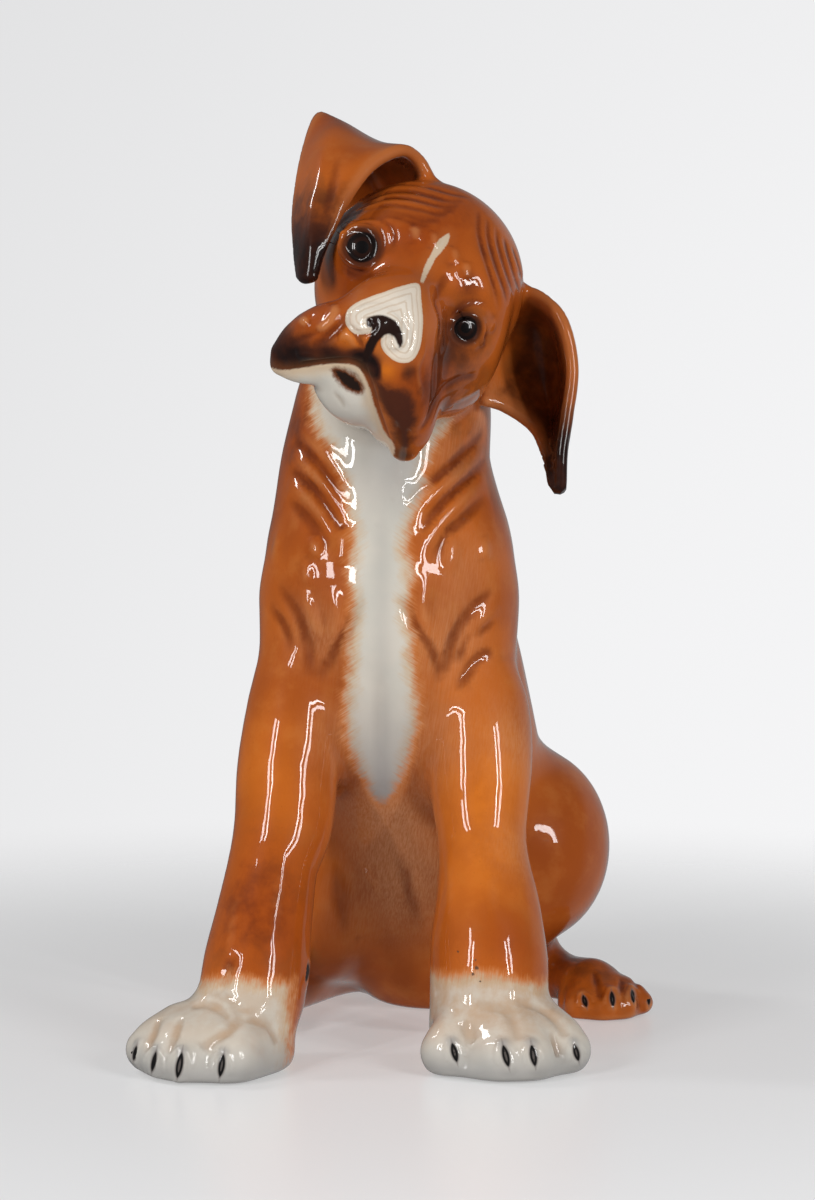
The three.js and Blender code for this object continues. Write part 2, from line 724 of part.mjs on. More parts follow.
function quadricCost(q, p) {
  const [x, y, z] = p;
  return q[0] * x * x + q[4] * y * y + q[7] * z * z + q[9]
    + 2 * (q[1] * x * y + q[2] * x * z + q[5] * y * z + q[3] * x + q[6] * y + q[8] * z);
}

function quadricLeast(q) {
  const c = [q[4] * q[7] - q[5] * q[5], q[2] * q[5] - q[1] * q[7], q[1] * q[5] - q[2] * q[4]];
  const det = q[0] * c[0] + q[1] * c[1] + q[2] * c[2];
  if (Math.abs(det) < 1e-9) {
    return null;
  }
  const m11 = q[0] * q[7] - q[2] * q[2];
  const m12 = q[1] * q[2] - q[0] * q[5];
  const m22 = q[0] * q[4] - q[1] * q[1];
  return [
    -(c[0] * q[3] + c[1] * q[6] + c[2] * q[8]) / det,
    -(c[1] * q[3] + m11 * q[6] + m12 * q[8]) / det,
    -(c[2] * q[3] + m12 * q[6] + m22 * q[8]) / det,
  ];
}

function thinned(mesh, target, weightAt) {
  const { points, faces } = mesh;
  const total = points.length / 3;
  const at = (v) => [points[3 * v], points[3 * v + 1], points[3 * v + 2]];
  const place = Array.from({ length: total }, (_, v) => at(v));
  const quadrics = Array.from({ length: total }, () => new Float64Array(10));
  const around = Array.from({ length: total }, () => []);
  const triangles = [];
  const steady = 0.002; // a light pull to the old places keeps facets well shaped
  for (let f = 0; f < faces.length; f += 3) {
    const tri = [faces[f], faces[f + 1], faces[f + 2]];
    const n = faceNormal(...tri.map((v) => place[v]));
    const area = Math.hypot(...n) / 2;
    const unit = n.map((value) => value / Math.max(2 * area, 1e-12));
    const p = place[tri[0]];
    const offset = -(unit[0] * p[0] + unit[1] * p[1] + unit[2] * p[2]);
    const weight = area * weightAt(p);
    for (const v of tri) {
      addPlane(quadrics[v], unit, offset, weight);
      for (let axis = 0; axis < 3; axis += 1) {
        const normal = [0, 0, 0];
        normal[axis] = 1;
        addPlane(quadrics[v], normal, -place[v][axis], weight * steady);
      }
      around[v].push(triangles.length);
    }
    triangles.push(tri);
  }
  const age = new Int32Array(total);
  const heap = new Heap();
  const neighbours = (v) => {
    const set = new Set();
    for (const f of around[v]) {
      for (const w of triangles[f]) {
        if (w !== v) {
          set.add(w);
        }
      }
    }
    return set;
  };
  const offer = (a, b) => {
    const q = quadrics[a].map((value, n) => value + quadrics[b][n]);
    const middle = place[a].map((value, n) => (value + place[b][n]) / 2);
    let spot = quadricLeast(q);
    const reach = Math.hypot(...place[a].map((value, n) => value - place[b][n]));
    if (!spot || Math.hypot(...spot.map((value, n) => value - middle[n])) > reach) {
      spot = middle;
    }
    heap.push({ cost: Math.max(quadricCost(q, spot), 0), a, b, spot, ages: age[a] + age[b] });
  };
  for (let v = 0; v < total; v += 1) {
    for (const w of neighbours(v)) {
      if (v < w) {
        offer(v, w);
      }
    }
  }
  const turnsOver = (v, other, spot) => {
    for (const f of around[v]) {
      const tri = triangles[f];
      if (tri.includes(other)) {
        continue;
      }
      const before = faceNormal(...tri.map((w) => place[w]));
      const after = faceNormal(...tri.map((w) => (w === v ? spot : place[w])));
      const dot = before[0] * after[0] + before[1] * after[1] + before[2] * after[2];
      if (dot < 0.25 * Math.hypot(...before) * Math.hypot(...after)) {
        return true;
      }
    }
    return false;
  };
  let alive = triangles.length;
  const gone = new Uint8Array(triangles.length);
  while (alive > target && heap.items.length > 0) {
    const { a, b, spot, ages } = heap.pop();
    if (age[a] < 0 || age[b] < 0 || ages !== age[a] + age[b]) {
      continue;
    }
    const nearA = neighbours(a);
    const shared = [...neighbours(b)].filter((w) => nearA.has(w));
    if (!nearA.has(b) || shared.length !== 2) {
      continue;
    }
    if (turnsOver(a, b, spot) || turnsOver(b, a, spot)) {
      continue;
    }
    const kept = [];
    for (const f of new Set([...around[a], ...around[b]])) {
      const tri = triangles[f];
      if (tri.includes(a) && tri.includes(b)) {
        gone[f] = 1;
        alive -= 1;
        for (const w of tri) {
          if (w !== a && w !== b) {
            around[w] = around[w].filter((g) => g !== f);
          }
        }
      } else {
        triangles[f] = tri.map((w) => (w === b ? a : w));
        kept.push(f);
      }
    }
    around[a] = kept;
    place[a] = spot;
    quadrics[a] = quadrics[a].map((value, n) => value + quadrics[b][n]);
    age[b] = -1;
    age[a] += 1;
    for (const w of neighbours(a)) {
      offer(a, w);
    }
  }
  return { place, triangles: triangles.filter((_, f) => !gone[f]) };
}

function facetWeight(p) {
  let weight = 1;
  for (const [middle, radius, most] of FINE_PLACES) {
    const away = Math.hypot(p[0] - middle[0], p[1] - middle[1], p[2] - middle[2]);
    weight = Math.max(weight, 1 + (most - 1) * Math.min(1, 2 * (1 - away / radius)));
  }
  return weight;
}

function figureGeometry() {
  const distance = figure();
  const mesh = skinMesh(distance);
  drawTight(mesh, distance);
  const flatness = 0.05;
  const { place, triangles } = thinned(mesh, TRIANGLES, facetWeight);
  const used = new Map();
  const positions = [];
  for (const v of new Set(triangles.flat())) {
    const p = place[v];
    used.set(v, positions.length / 3);
    positions.push(p[0], p[1], Math.abs(p[2]) < flatness ? 0 : p[2]);
  }
  const geometry = new THREE.BufferGeometry();
  geometry.setAttribute('position', new THREE.Float32BufferAttribute(positions, 3));
  geometry.setIndex(triangles.flat().map((v) => used.get(v)));
  geometry.computeBoundingBox();
  const box = geometry.boundingBox;
  geometry.translate(-(box.min.x + box.max.x) / 2, -(box.min.y + box.max.y) / 2, -box.min.z);
  geometry.computeVertexNormals();
  return geometry;
}

const puppy = new THREE.Mesh(
  figureGeometry(),
  new THREE.MeshStandardMaterial({ color: GLAZE_BROWN, roughness: 0.12, metalness: 0 }),
);
puppy.name = 'puppy_figurine';

const figurine = new THREE.Group();
figurine.add(puppy);

export default figurine;
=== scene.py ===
# The glazed puppy as it looks: the same forms as the solid, with the finer modelling of face,
# paws and skin, the airbrushed glazes with some painted shade and highlights, a pale floor, soft
# lights and the camera.
#
# The forms are written in millimetres in the sculptor's frame, where the head's and legs'
# numbers are kept, and are moved to the imported part's frame in metres at the end.

import bpy
import numpy as np
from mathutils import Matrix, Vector


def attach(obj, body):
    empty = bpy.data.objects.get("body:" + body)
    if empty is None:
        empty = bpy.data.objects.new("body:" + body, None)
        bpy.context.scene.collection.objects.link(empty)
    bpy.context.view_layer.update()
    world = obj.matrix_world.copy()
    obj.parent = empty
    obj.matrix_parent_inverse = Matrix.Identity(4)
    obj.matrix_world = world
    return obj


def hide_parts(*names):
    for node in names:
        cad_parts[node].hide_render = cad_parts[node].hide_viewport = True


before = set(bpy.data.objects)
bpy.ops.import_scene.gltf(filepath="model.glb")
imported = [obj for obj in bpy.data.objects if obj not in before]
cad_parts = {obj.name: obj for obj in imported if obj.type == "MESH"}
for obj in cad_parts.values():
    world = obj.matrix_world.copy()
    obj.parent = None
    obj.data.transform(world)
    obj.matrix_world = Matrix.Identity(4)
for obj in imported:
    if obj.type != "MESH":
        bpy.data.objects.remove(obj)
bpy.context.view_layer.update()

# The middle of the footprint's box in the sculptor's frame, and millimetres to metres
FOOTPRINT = np.array([4.934, 24.550, 0.0])
MM = 0.001

# Driving dimensions, the same as the solid's
SKULL = (49.5, 49, 50)
HEAD_CENTRE = np.array([13.6, -36, 365.0])
HEAD_ROLL = 37
HEAD_YAW = 3
HEAD_PITCH = 2
RIGHT_EYE = (-33.4, 42, -5.2)
LEFT_EYE = (28.2, 47, -6.4)
# The place, side and size of each eye, and how far it is turned outwards
EYES = ((RIGHT_EYE, -1, 0.9, 0.4), (LEFT_EYE, 1, 0.77, 0.45))
EYE_RADIUS = 12
EAR_THICKNESS = 6
SHOULDER_REACH = 31
FOREPAW_SIZE = 1.04
HINDPAW_SIZE = 0.65
FOOT_ROUNDING = 3
BLEND_MARGIN = 26

# Meshing: the first grid and what it covers, how near 0 a point stands on the ground, and how
# far apart the skin's slope and bends are measured
GRID_STEP = 3.6
REGION = (np.array([-134.0, -141, -6.4]), np.array([148.0, 188, 466]))
ON_GROUND = 0.05
SLOPE_REACH = 0.15
FINE_REACH = 0.5
BROAD_REACH = 2.2


def length(v):
    return np.linalg.norm(v, axis=-1)


def held(value):
    return np.clip(value, 0, 1)


# Blending of distances


def unite(a, b, width):
    if width <= 0:
        return np.minimum(a, b)
    overlap = np.maximum(width - np.abs(a - b), 0) / width
    return np.minimum(a, b) - overlap * overlap * width / 4


def intersect(a, b, width):
    return -unite(-a, -b, width)


# Smooth curves through a few stations


def basis(u):
    return 0.5 * np.stack([-u + 2 * u**2 - u**3, 2 - 5 * u**2 + 3 * u**3,
                           u + 4 * u**2 - 3 * u**3, -(u**2) + u**3], -1)


def slope_basis(u):
    return 0.5 * np.stack([-1 + 4 * u - 3 * u**2, -10 * u + 9 * u**2,
                           1 + 8 * u - 9 * u**2, -2 * u + 3 * u**2], -1)


def with_ends(stations):
    s = np.asarray(stations, float)
    return np.concatenate([2 * s[:1] - s[1:2], s, 2 * s[-1:] - s[-2:-1]])


def through(guide, t):
    i = np.clip(np.floor(t).astype(int), 0, len(guide) - 4)
    weights = basis(t - i)
    return sum(weights[:, k, None] * guide[i + k] for k in range(4))


def curve_points(stations, t):
    """Where a curve through the stations is, t counting them from 0."""
    return through(with_ends(stations), t)


# Forms. Each is (low, high, distance), where distance takes an array of points.


def oval(centre, radii):
    c = np.array(centre, float)
    r = np.array(radii, float)

    def distance(p):
        q = p - c
        near = length(q / r)
        steep = length(q / (r * r))
        return near * (near - 1) / np.maximum(steep, 1e-6)

    return c - r, c + r, distance


def limb(stations, squeeze=1.0):
    per_span = 5
    spans = len(stations) - 1
    scale = np.array([1, squeeze, 1])
    t = np.arange(spans * per_span + 1) / per_span
    samples = curve_points(stations, t)
    centres = samples[:, :3] * scale
    low = ((centres - samples[:, 3:]) / scale).min(0)
    high = ((centres + samples[:, 3:]) / scale).max(0)

    def distance(p):
        q = p * scale
        gap = (q * q).sum(1)[:, None] + (centres**2).sum(1) - 2 * q @ centres.T
        gap = np.sqrt(np.maximum(gap, 0)) - samples[:, 3]
        best = gap.argmin(1)
        mid = np.clip(best, 1, len(t) - 2)
        row = np.arange(len(p))
        before, here, after = gap[row, mid - 1], gap[row, mid], gap[row, mid + 1]
        bend = before - 2 * here + after
        safe = np.where(bend > 1e-9, bend, 1)
        shift = np.clip(0.5 * (before - after) / safe, -1.2, 1.2)
        shift = np.where(bend > 1e-9, shift, best - mid)
        s = curve_points(stations, np.clip((mid + shift) / per_span, 0, spans))
        return length(q - s[:, :3] * scale) - s[:, 3]

    return low, high, distance


class Leaf:
    """A curved sheet through rows of guide points, as thick as a ceramic ear."""

    def __init__(self, rows, thickness):
        grid = with_ends(rows)
        self.grid = np.swapaxes(with_ends(np.swapaxes(grid, 0, 1)), 0, 1)
        self.spans = np.array(self.grid.shape[:2]) - 3
        self.half = thickness / 2
        per_span = 4
        u, v = np.meshgrid(*[np.arange(n * per_span + 1) / per_span for n in self.spans],
                           indexing="ij")
        self.uv = np.stack([u.ravel(), v.ravel()], 1)
        self.samples = self.at(self.uv)[0]
        self.low = self.samples.min(0) - self.half
        self.high = self.samples.max(0) + self.half

    def at(self, uv):
        i = np.clip(np.floor(uv).astype(int), 0, self.spans - 1)
        du, dv = (uv - i).T
        k = np.arange(4)
        patch = self.grid[i[:, 0, None, None] + k[:, None], i[:, 1, None, None] + k]
        place = np.einsum("na,nb,nabc->nc", basis(du), basis(dv), patch)
        along = np.einsum("na,nb,nabc->nc", slope_basis(du), basis(dv), patch)
        across = np.einsum("na,nb,nabc->nc", basis(du), slope_basis(dv), patch)
        return place, along, across

    def closest(self, p):
        square = (self.samples**2).sum(1)
        uv = np.empty((len(p), 2))
        for start in range(0, len(p), 4000):
            part = slice(start, start + 4000)
            uv[part] = self.uv[(square - 2 * p[part] @ self.samples.T).argmin(1)]
        best = np.full(len(p), np.inf)
        for step in range(4):
            place, along, across = self.at(uv)
            away = p - place
            best = np.minimum(best, (away * away).sum(1))
            if step == 3:
                break
            a = (along * along).sum(1)
            b = (along * across).sum(1)
            c = (across * across).sum(1)
            e = (along * away).sum(1)
            f = (across * away).sum(1)
            det = a * c - b * b + 1e-6
            du = (c * e - b * f) / det
            dv = (a * f - b * e) / det
            u, v = uv.T
            held_u = ((u <= 0) & (du < 0)) | ((u >= self.spans[0]) & (du > 0))
            held_v = ((v <= 0) & (dv < 0)) | ((v >= self.spans[1]) & (dv > 0))
            dv = np.where(held_u, f / (c + 1e-6), dv)
            du = np.where(held_v, e / (a + 1e-6), du)
            move = np.stack([np.where(held_u, 0, du), np.where(held_v, 0, dv)], 1)
            uv = np.clip(uv + np.clip(move, -0.2, 0.2), 0, self.spans)
        return np.sqrt(best), uv

    def form(self):
        return self.low, self.high, lambda p: self.closest(p)[0] - self.half


def past_box(p, low, high):
    return length(np.maximum(np.maximum(low - p, p - high), 0))


def bounded(form, p, margin=BLEND_MARGIN):
    low, high, distance = form
    out = past_box(p, low, high)
    close = out < margin
    if close.any():
        out[close] = distance(p[close])
    return out


def blend(parts):
    low = np.min([form[0] for _, form in parts], axis=0)
    high = np.max([form[1] for _, form in parts], axis=0)

    def distance(p):
        total = None
        for width, form in parts:
            d = bounded(form, p)
            total = d if total is None else unite(total, d, width)
        return total

    return low, high, distance


def placed(form, origin, axes, size=1.0):
    """A form drawn in its own axes, the rows of a rotation, and set into the figure."""
    low, high, distance = form
    origin = np.array(origin, float)
    middle = origin + size * ((low + high) / 2) @ axes
    radius = length(high - low) / 2 * size
    return (
        middle - radius,
        middle + radius,
        lambda p: size * distance((p - origin) @ axes.T / size),
    )


# The figure


def body():
    return blend([
        (0, limb([[0, 3, 300, 45.5], [-3, 4, 276, 48.5], [-1.5, 6, 250, 53.5], [-1, 10, 222, 55],
                  [8, 30, 165, 60], [18, 58, 100, 63], [22, 84, 58, 62]])),
        (20, oval([-2, -18, 212], [40, 38, 56])),
        (14, limb([[-3, -12, 196, 38], [-4, -7, 165, 36], [-4, -2, 140, 29], [-4, 4, 122, 19]])),
        (16, oval([-SHOULDER_REACH, -8, 226], [29, 34, 48])),
        (16, oval([SHOULDER_REACH, -6, 224], [29, 34, 48])),
        (24, oval([26, 100, 48], [54, 52, 50])),
        (16, oval([22, 78, 36], [34, 40, 44])),
        (14, limb([[5, -4, 335, 42], [1, 2, 305, 44.5], [-3, 4, 275, 47.5]])),
    ])


def hindquarters():
    return blend([
        (14, oval([70, 62, 84], [42, 50, 50])),
        (14, oval([-36, 62, 62], [38, 50, 50])),
        (8, limb([[72, 100, 15, 16], [90, 76, 12, 12.5], [102, 54, 13, 13]])),
        (8, limb([[-34, 92, 16, 18], [-48, 58, 13, 14], [-62, 28, 13, 13]])),
        (8, limb([[26, 140, 34, 13], [29, 156, 44, 10.5], [31, 166, 56, 7.5]])),
    ])


def forelegs():
    return blend([
        (12, limb([[-38, -10, 212, 24], [-42, -16, 185, 22.5], [-46, -24, 160, 24],
                   [-49.5, -32, 134, 24.5], [-51.5, -40, 108, 23.5], [-56, -48, 90, 21.5],
                   [-60, -57, 66, 23], [-63, -66, 46, 25], [-65, -72, 32, 25]], 0.95)),
        (12, limb([[34, -10, 212, 24], [37, -14, 182, 22.5], [42, -20, 160, 25],
                   [42.8, -28, 135, 25.5], [43.5, -38, 106, 21.8], [44.5, -46, 90, 21.8],
                   [46, -54, 72, 24.5], [46, -61, 56, 27], [46.5, -66, 40, 28],
                   [45.5, -68, 22, 27]], 0.95)),
    ])


# Toes of each paw: across and ahead of its middle, and how thick
RIGHT_TOES = [(-28.5, -14, 9.5), (-18, -23, 9.5), (-5.5, -26.5, 10.5), (14.5, -21.5, 12)]
LEFT_TOES = [(-27.5, -13, 12), (-5, -25, 11), (8.5, -25.5, 10.5), (25.5, -13, 11)]
HIND_TOES = [(-24, -14, 11), (-8, -24, 11.5), (8, -24, 11), (26, -13, 10.5)]


def paw(toes):
    parts = [(0, oval([0, 5, 12], [30, 30, 20])), (8, oval([0, 8, 6], [31, 28, 13]))]
    for x, y, r in toes:
        parts.append((8, limb([[0.7 * x, 0.2 * y, 18, 0.85 * r],
                               [0.88 * x, 0.7 * y, 14.5, 0.97 * r], [x, y, 10, r]])))
    parts.append((6, oval([-1, -3, 4], [31, 32, 9])))
    return blend(parts)


def turned(degrees):
    a = np.radians(degrees)
    return np.array([[np.cos(a), np.sin(a), 0], [-np.sin(a), np.cos(a), 0], [0, 0, 1]])


def paws():
    return blend([
        (0, placed(paw(RIGHT_TOES), [-80, -86, 0], turned(-16), FOREPAW_SIZE)),
        (1, placed(paw(LEFT_TOES), [54, -82, 0], turned(4), FOREPAW_SIZE)),
        (1, placed(paw(HIND_TOES), [107, 42, 0], turned(16), HINDPAW_SIZE)),
        (1, placed(paw(HIND_TOES), [-68, 10, 0], turned(-24), HINDPAW_SIZE)),
    ])


def eye(centre, side, size, lean):
    x, y, z = centre

    def rim(stations):
        return limb([[x + side * out * size, y + (forward - lean * out) * size, z + up * size,
                      r * size] for out, forward, up, r in stations])

    ball = EYE_RADIUS * size
    return [
        (1, oval([x - side * lean * 4 * size, y - 9.4 * size, z], [ball] * 3)),
        (2, rim([[-10, -1.5, -2, 1.7], [-6.5, 0, 5.5, 2.2], [0, 1, 9.2, 2.7], [7, 0.4, 7, 2.3],
                 [10.5, -1, 0, 1.7]])),
        (2, rim([[-10, -1.5, -2, 1.7], [-6.5, -0.4, -7.5, 2], [0, 0, -9.6, 2.2],
                 [7.5, -0.4, -6.5, 2], [10.5, -1, 0, 1.7]])),
    ]


def head():
    return blend([
        (0, oval([0, 0, 0], SKULL)),
        (10, oval([1, -14, -4], [43, 42, 41])),
        # brows and cheeks
        *[(10, oval([17 * side, 30, 12], [20, 18, 14])) for side in (-1, 1)],
        *[(8, oval([29 * side, 26, -4], [16, 15, 18])) for side in (-1, 1)],
        (6, oval([-15, 14, -22], [17, 26, 20])),
        (12, oval([30, 12, -24], [24, 32, 28])),
        (12, oval([7, 14, -50], [28, 36, 23])),
        (12, oval([28, 36, -34], [16, 21, 22])),
        # bridge of the nose and the block of the muzzle
        (13, limb([[-1, 34, -6, 20], [-1, 58, -18, 17], [-1, 70, -24, 14]])),
        (13, oval([3, 54, -38], [28, 24, 21])),
        # hanging upper lips, right and left
        (7, limb([[-11, 66, -37, 13.5], [-20, 61, -46, 14.5], [-26.5, 53, -56, 12.2],
                  [-30.5, 47, -65, 8]])),
        (10, limb([[11, 67, -40, 13.5], [22, 61, -49, 14.5], [31.5, 52, -57, 12.5],
                   [37.5, 44, -66, 7.5]])),
        # chin and lower lip
        (4, oval([4, 45, -57], [23, 22, 18])),
        (3, limb([[-30, 43, -70, 5.5], [-22, 50, -66, 7.5], [-9, 57, -57.5, 8.5],
                  [3, 59, -54, 8.5], [15, 55, -59, 8], [24, 48, -65, 6.5], [29, 42, -68, 4]])),
        # nose
        (9, oval([-2, 62, -24], [21, 15, 16])),
        (4, oval([-2, 76, -33], [15, 9, 11])),
        *eye(*EYES[0]),
        *eye(*EYES[1]),
        # flesh behind the left eye's upper lid
        (3, limb([[19, 43.5, -3, 3], [23, 44.5, 1, 3.4], [28, 44, 3.4, 3.4], [34, 40, 1.5, 3.2]])),
    ])


def head_axes():
    roll, yaw, pitch = np.radians([HEAD_ROLL, HEAD_YAW, HEAD_PITCH])
    side = np.array([np.cos(roll), 0, -np.sin(roll)])
    front = np.array([0, -1.0, 0])
    crown = np.array([np.sin(roll), 0, np.cos(roll)])
    turned_front = front * np.cos(yaw) + side * np.sin(yaw)
    turned_side = side * np.cos(yaw) - front * np.sin(yaw)
    lifted_front = turned_front * np.cos(pitch) + crown * np.sin(pitch)
    lifted_crown = crown * np.cos(pitch) - turned_front * np.sin(pitch)
    return np.stack([turned_side, lifted_front, lifted_crown])


HEAD_AXES = head_axes()

RIGHT_EAR = Leaf([
    [[19.5, -40, 413], [10, -4, 416], [-3.5, 14, 410], [-19, 4, 396.5]],
    [[13, -42, 424], [3.5, -10, 428], [-11.5, 10, 427], [-27, 6, 418]],
    [[4, -50, 427.5], [-8, -30, 431.5], [-21.5, -12, 441.5], [-33, -6, 447.5]],
    [[-10.5, -60, 418.5], [-19, -54, 423.5], [-29.5, -42, 431.5], [-39.5, -26, 430.5]],
    [[-23.5, -70, 399], [-29.5, -69, 400.5], [-37, -60, 403], [-43.5, -46, 401]],
    [[-32.5, -75, 379.5], [-35, -76, 378.5], [-39, -71, 378.5], [-42.5, -61, 380.5]],
    [[-36, -76, 367.5], [-37.5, -76, 367], [-39.5, -73, 367], [-41, -68, 368.5]],
], EAR_THICKNESS)

LEFT_EAR = Leaf([
    [[62.5, -34, 363.5], [57.5, -14, 350], [52, -14, 330.5], [46, -24, 311]],
    [[72.5, -38, 358.5], [71.5, -10, 347.5], [64, -6, 326], [54, -22, 308.5]],
    [[81.5, -44, 347.5], [81, -12, 334.5], [74.5, -4, 315.5], [64, -22, 302.5]],
    [[86, -46, 326], [84.5, -20, 314.5], [78.5, -12, 302.5], [70.5, -26, 296]],
    [[83.5, -48, 303.5], [81, -36, 295], [78, -30, 289], [74.5, -36, 285.5]],
    [[81, -50, 287], [80, -44, 282.5], [78, -40, 278.5], [76, -44, 277]],
    [[80.5, -50, 270], [80, -48, 269], [79, -47, 269], [78, -48, 269.5]],
], EAR_THICKNESS)

HEAD = head()
WHOLE_HEAD = placed(HEAD, HEAD_CENTRE, HEAD_AXES)
WHOLE = blend([
    (0, body()),
    (14, hindquarters()),
    (12, forelegs()),
    (9, paws()),
    (8, WHOLE_HEAD),
    (4, RIGHT_EAR.form()),
    (4, LEFT_EAR.form()),
])


def smooth_skin(p):
    return intersect(WHOLE[2](p), -p[:, 2], FOOT_ROUNDING)


def to_head(p):
    return (p - HEAD_CENTRE) @ HEAD_AXES.T


def from_head(q):
    return HEAD_CENTRE + np.asarray(q, float) @ HEAD_AXES


# Strokes of the modelling tool. Each is a line of points seen from the front, (x, z) on the body
# or (across, up) in the head's own axes, laid on the skin. A positive depth is a groove and a
# negative one a ridge.

LAYING_STEPS = 60
# How many times its width a stroke is felt
STROKE_REACH = 2.6


def laid_on(points, on_head):
    """The points of a line, walked back onto the skin from in front of it."""
    ahead, pace, field = (120.0, -0.9, HEAD[2]) if on_head else (-160.0, 0.9, smooth_skin)
    q = np.insert(np.array(points, float), 1, ahead, axis=1)
    for _ in range(LAYING_STEPS):
        q[:, 1] += pace * field(q)
    return from_head(q) if on_head else q


class Stroke:
    def __init__(self, points, depth, width, on_head=False, ends=0.6):
        laid = laid_on(points, on_head)
        t = np.arange((len(points) - 1) * 4 + 1) / 4
        self.line = curve_points(laid, t)
        self.depth = depth
        self.width = width
        self.ends = ends
        self.low = self.line.min(0) - STROKE_REACH * width
        self.high = self.line.max(0) + STROKE_REACH * width

    def nearest(self, p):
        """Which points are close, their distance to the line and how far along it they lie."""
        close = ((p > self.low) & (p < self.high)).all(1)
        q = p[close]
        best = np.full(len(q), np.inf)
        along = np.zeros(len(q))
        count = len(self.line) - 1
        for n in range(count):
            a = self.line[n]
            span = self.line[n + 1] - a
            t = np.clip((q - a) @ span / max(span @ span, 1e-9), 0, 1)
            d = ((q - a - t[:, None] * span) ** 2).sum(1)
            nearer = d < best
            best[nearer] = d[nearer]
            along[nearer] = ((n + t) / count)[nearer]
        return close, np.sqrt(best), along

    def mark(self, p):
        """1 in the middle of the stroke, fading to its sides and ends."""
        out = np.zeros(len(p))
        close, away, along = self.nearest(p)
        out[close] = np.exp(-((away / self.width) ** 2)) * np.sin(np.pi * along) ** self.ends
        return out


def resampled(points, count):
    """As many points, evenly along the line."""
    points = np.array(points, float)
    steps = length(np.diff(points, axis=0))
    along = np.concatenate([[0], np.cumsum(steps)])
    at = np.linspace(0, along[-1], count)
    return np.stack([np.interp(at, along, points[:, k]) for k in range(2)], 1)


def family(lines, count):
    """Lines laid evenly between the given ones, for rows of wrinkles."""
    keys = np.array([resampled(line, 7) for line in lines])
    at = np.linspace(0, len(keys) - 1, count)
    low = np.minimum(at.astype(int), len(keys) - 2)
    t = (at - low)[:, None, None]
    return list(keys[low] * (1 - t) + keys[low + 1] * t)


# Nails: upper and lower end seen from the front, [x, z], and half the width of the black slit
NAILS = [
    ([-116.2, 14.5], [-118, 7], 1.0),
    ([-106.2, 14.5], [-108.5, 4.5], 1.1),
    ([-94, 15.5], [-96.2, 3.5], 1.6),
    ([-75, 15], [-76.8, 4.5], 1.5),
    ([-38.6, 47], [-39.4, 39], 1.0),
    ([28.3, 17], [30.6, 8.5], 1.5),
    ([51.3, 18], [53.8, 8.5], 1.6),
    ([64.2, 18], [65.9, 8.5], 1.6),
    ([84.3, 15.5], [86.5, 7.5], 1.4),
    ([96.3, 13], [98, 7.5], 1.3),
    ([110.7, 15], [111.2, 8], 1.3),
    ([121.4, 14.5], [122, 9], 1.1),
    ([130.2, 12.5], [130.4, 6], 1.0),
]

LIP_LINE = [(-34, -74), (-28.5, -70.5), (-23.5, -66.5), (-17, -60), (-10.5, -54.3), (-5, -51),
            (0, -50.5), (8, -55), (16, -60.5), (24.5, -65.5), (34, -71)]
RIGHT_SPIRAL = [(-20, -32.5), (-19.5, -37), (-16, -39.5), (-11, -40), (-8, -38), (-6.5, -34.5),
                (-7.5, -31.5), (-10, -30.8), (-11.5, -32.8), (-10, -35)]
LEFT_SPIRAL = [(6.5, -28.5), (9, -32.5), (7.5, -36.5), (4, -38.5), (0.8, -37), (1, -34),
               (3.5, -33), (5, -35)]

FOREHEAD = family([
    [(-48, -2), (-42, 7), (-35, 12.5), (-27, 16), (-17, 19), (-12, 22)],
    [(-48, 2), (-43, 10), (-38.5, 16), (-33, 20.5), (-22.5, 25.5), (-13, 30), (-8, 37)],
    [(-46, 14), (-42, 26), (-35, 34), (-26, 38), (-16, 41), (-6, 46)],
], 7)
TEMPLE = family([
    [(0, 44), (5.5, 34.5), (13, 28), (20.5, 22), (28.5, 16.5), (35.5, 10.5)],
    [(23, 40), (30, 36), (36, 32), (41, 29.5)],
], 5)

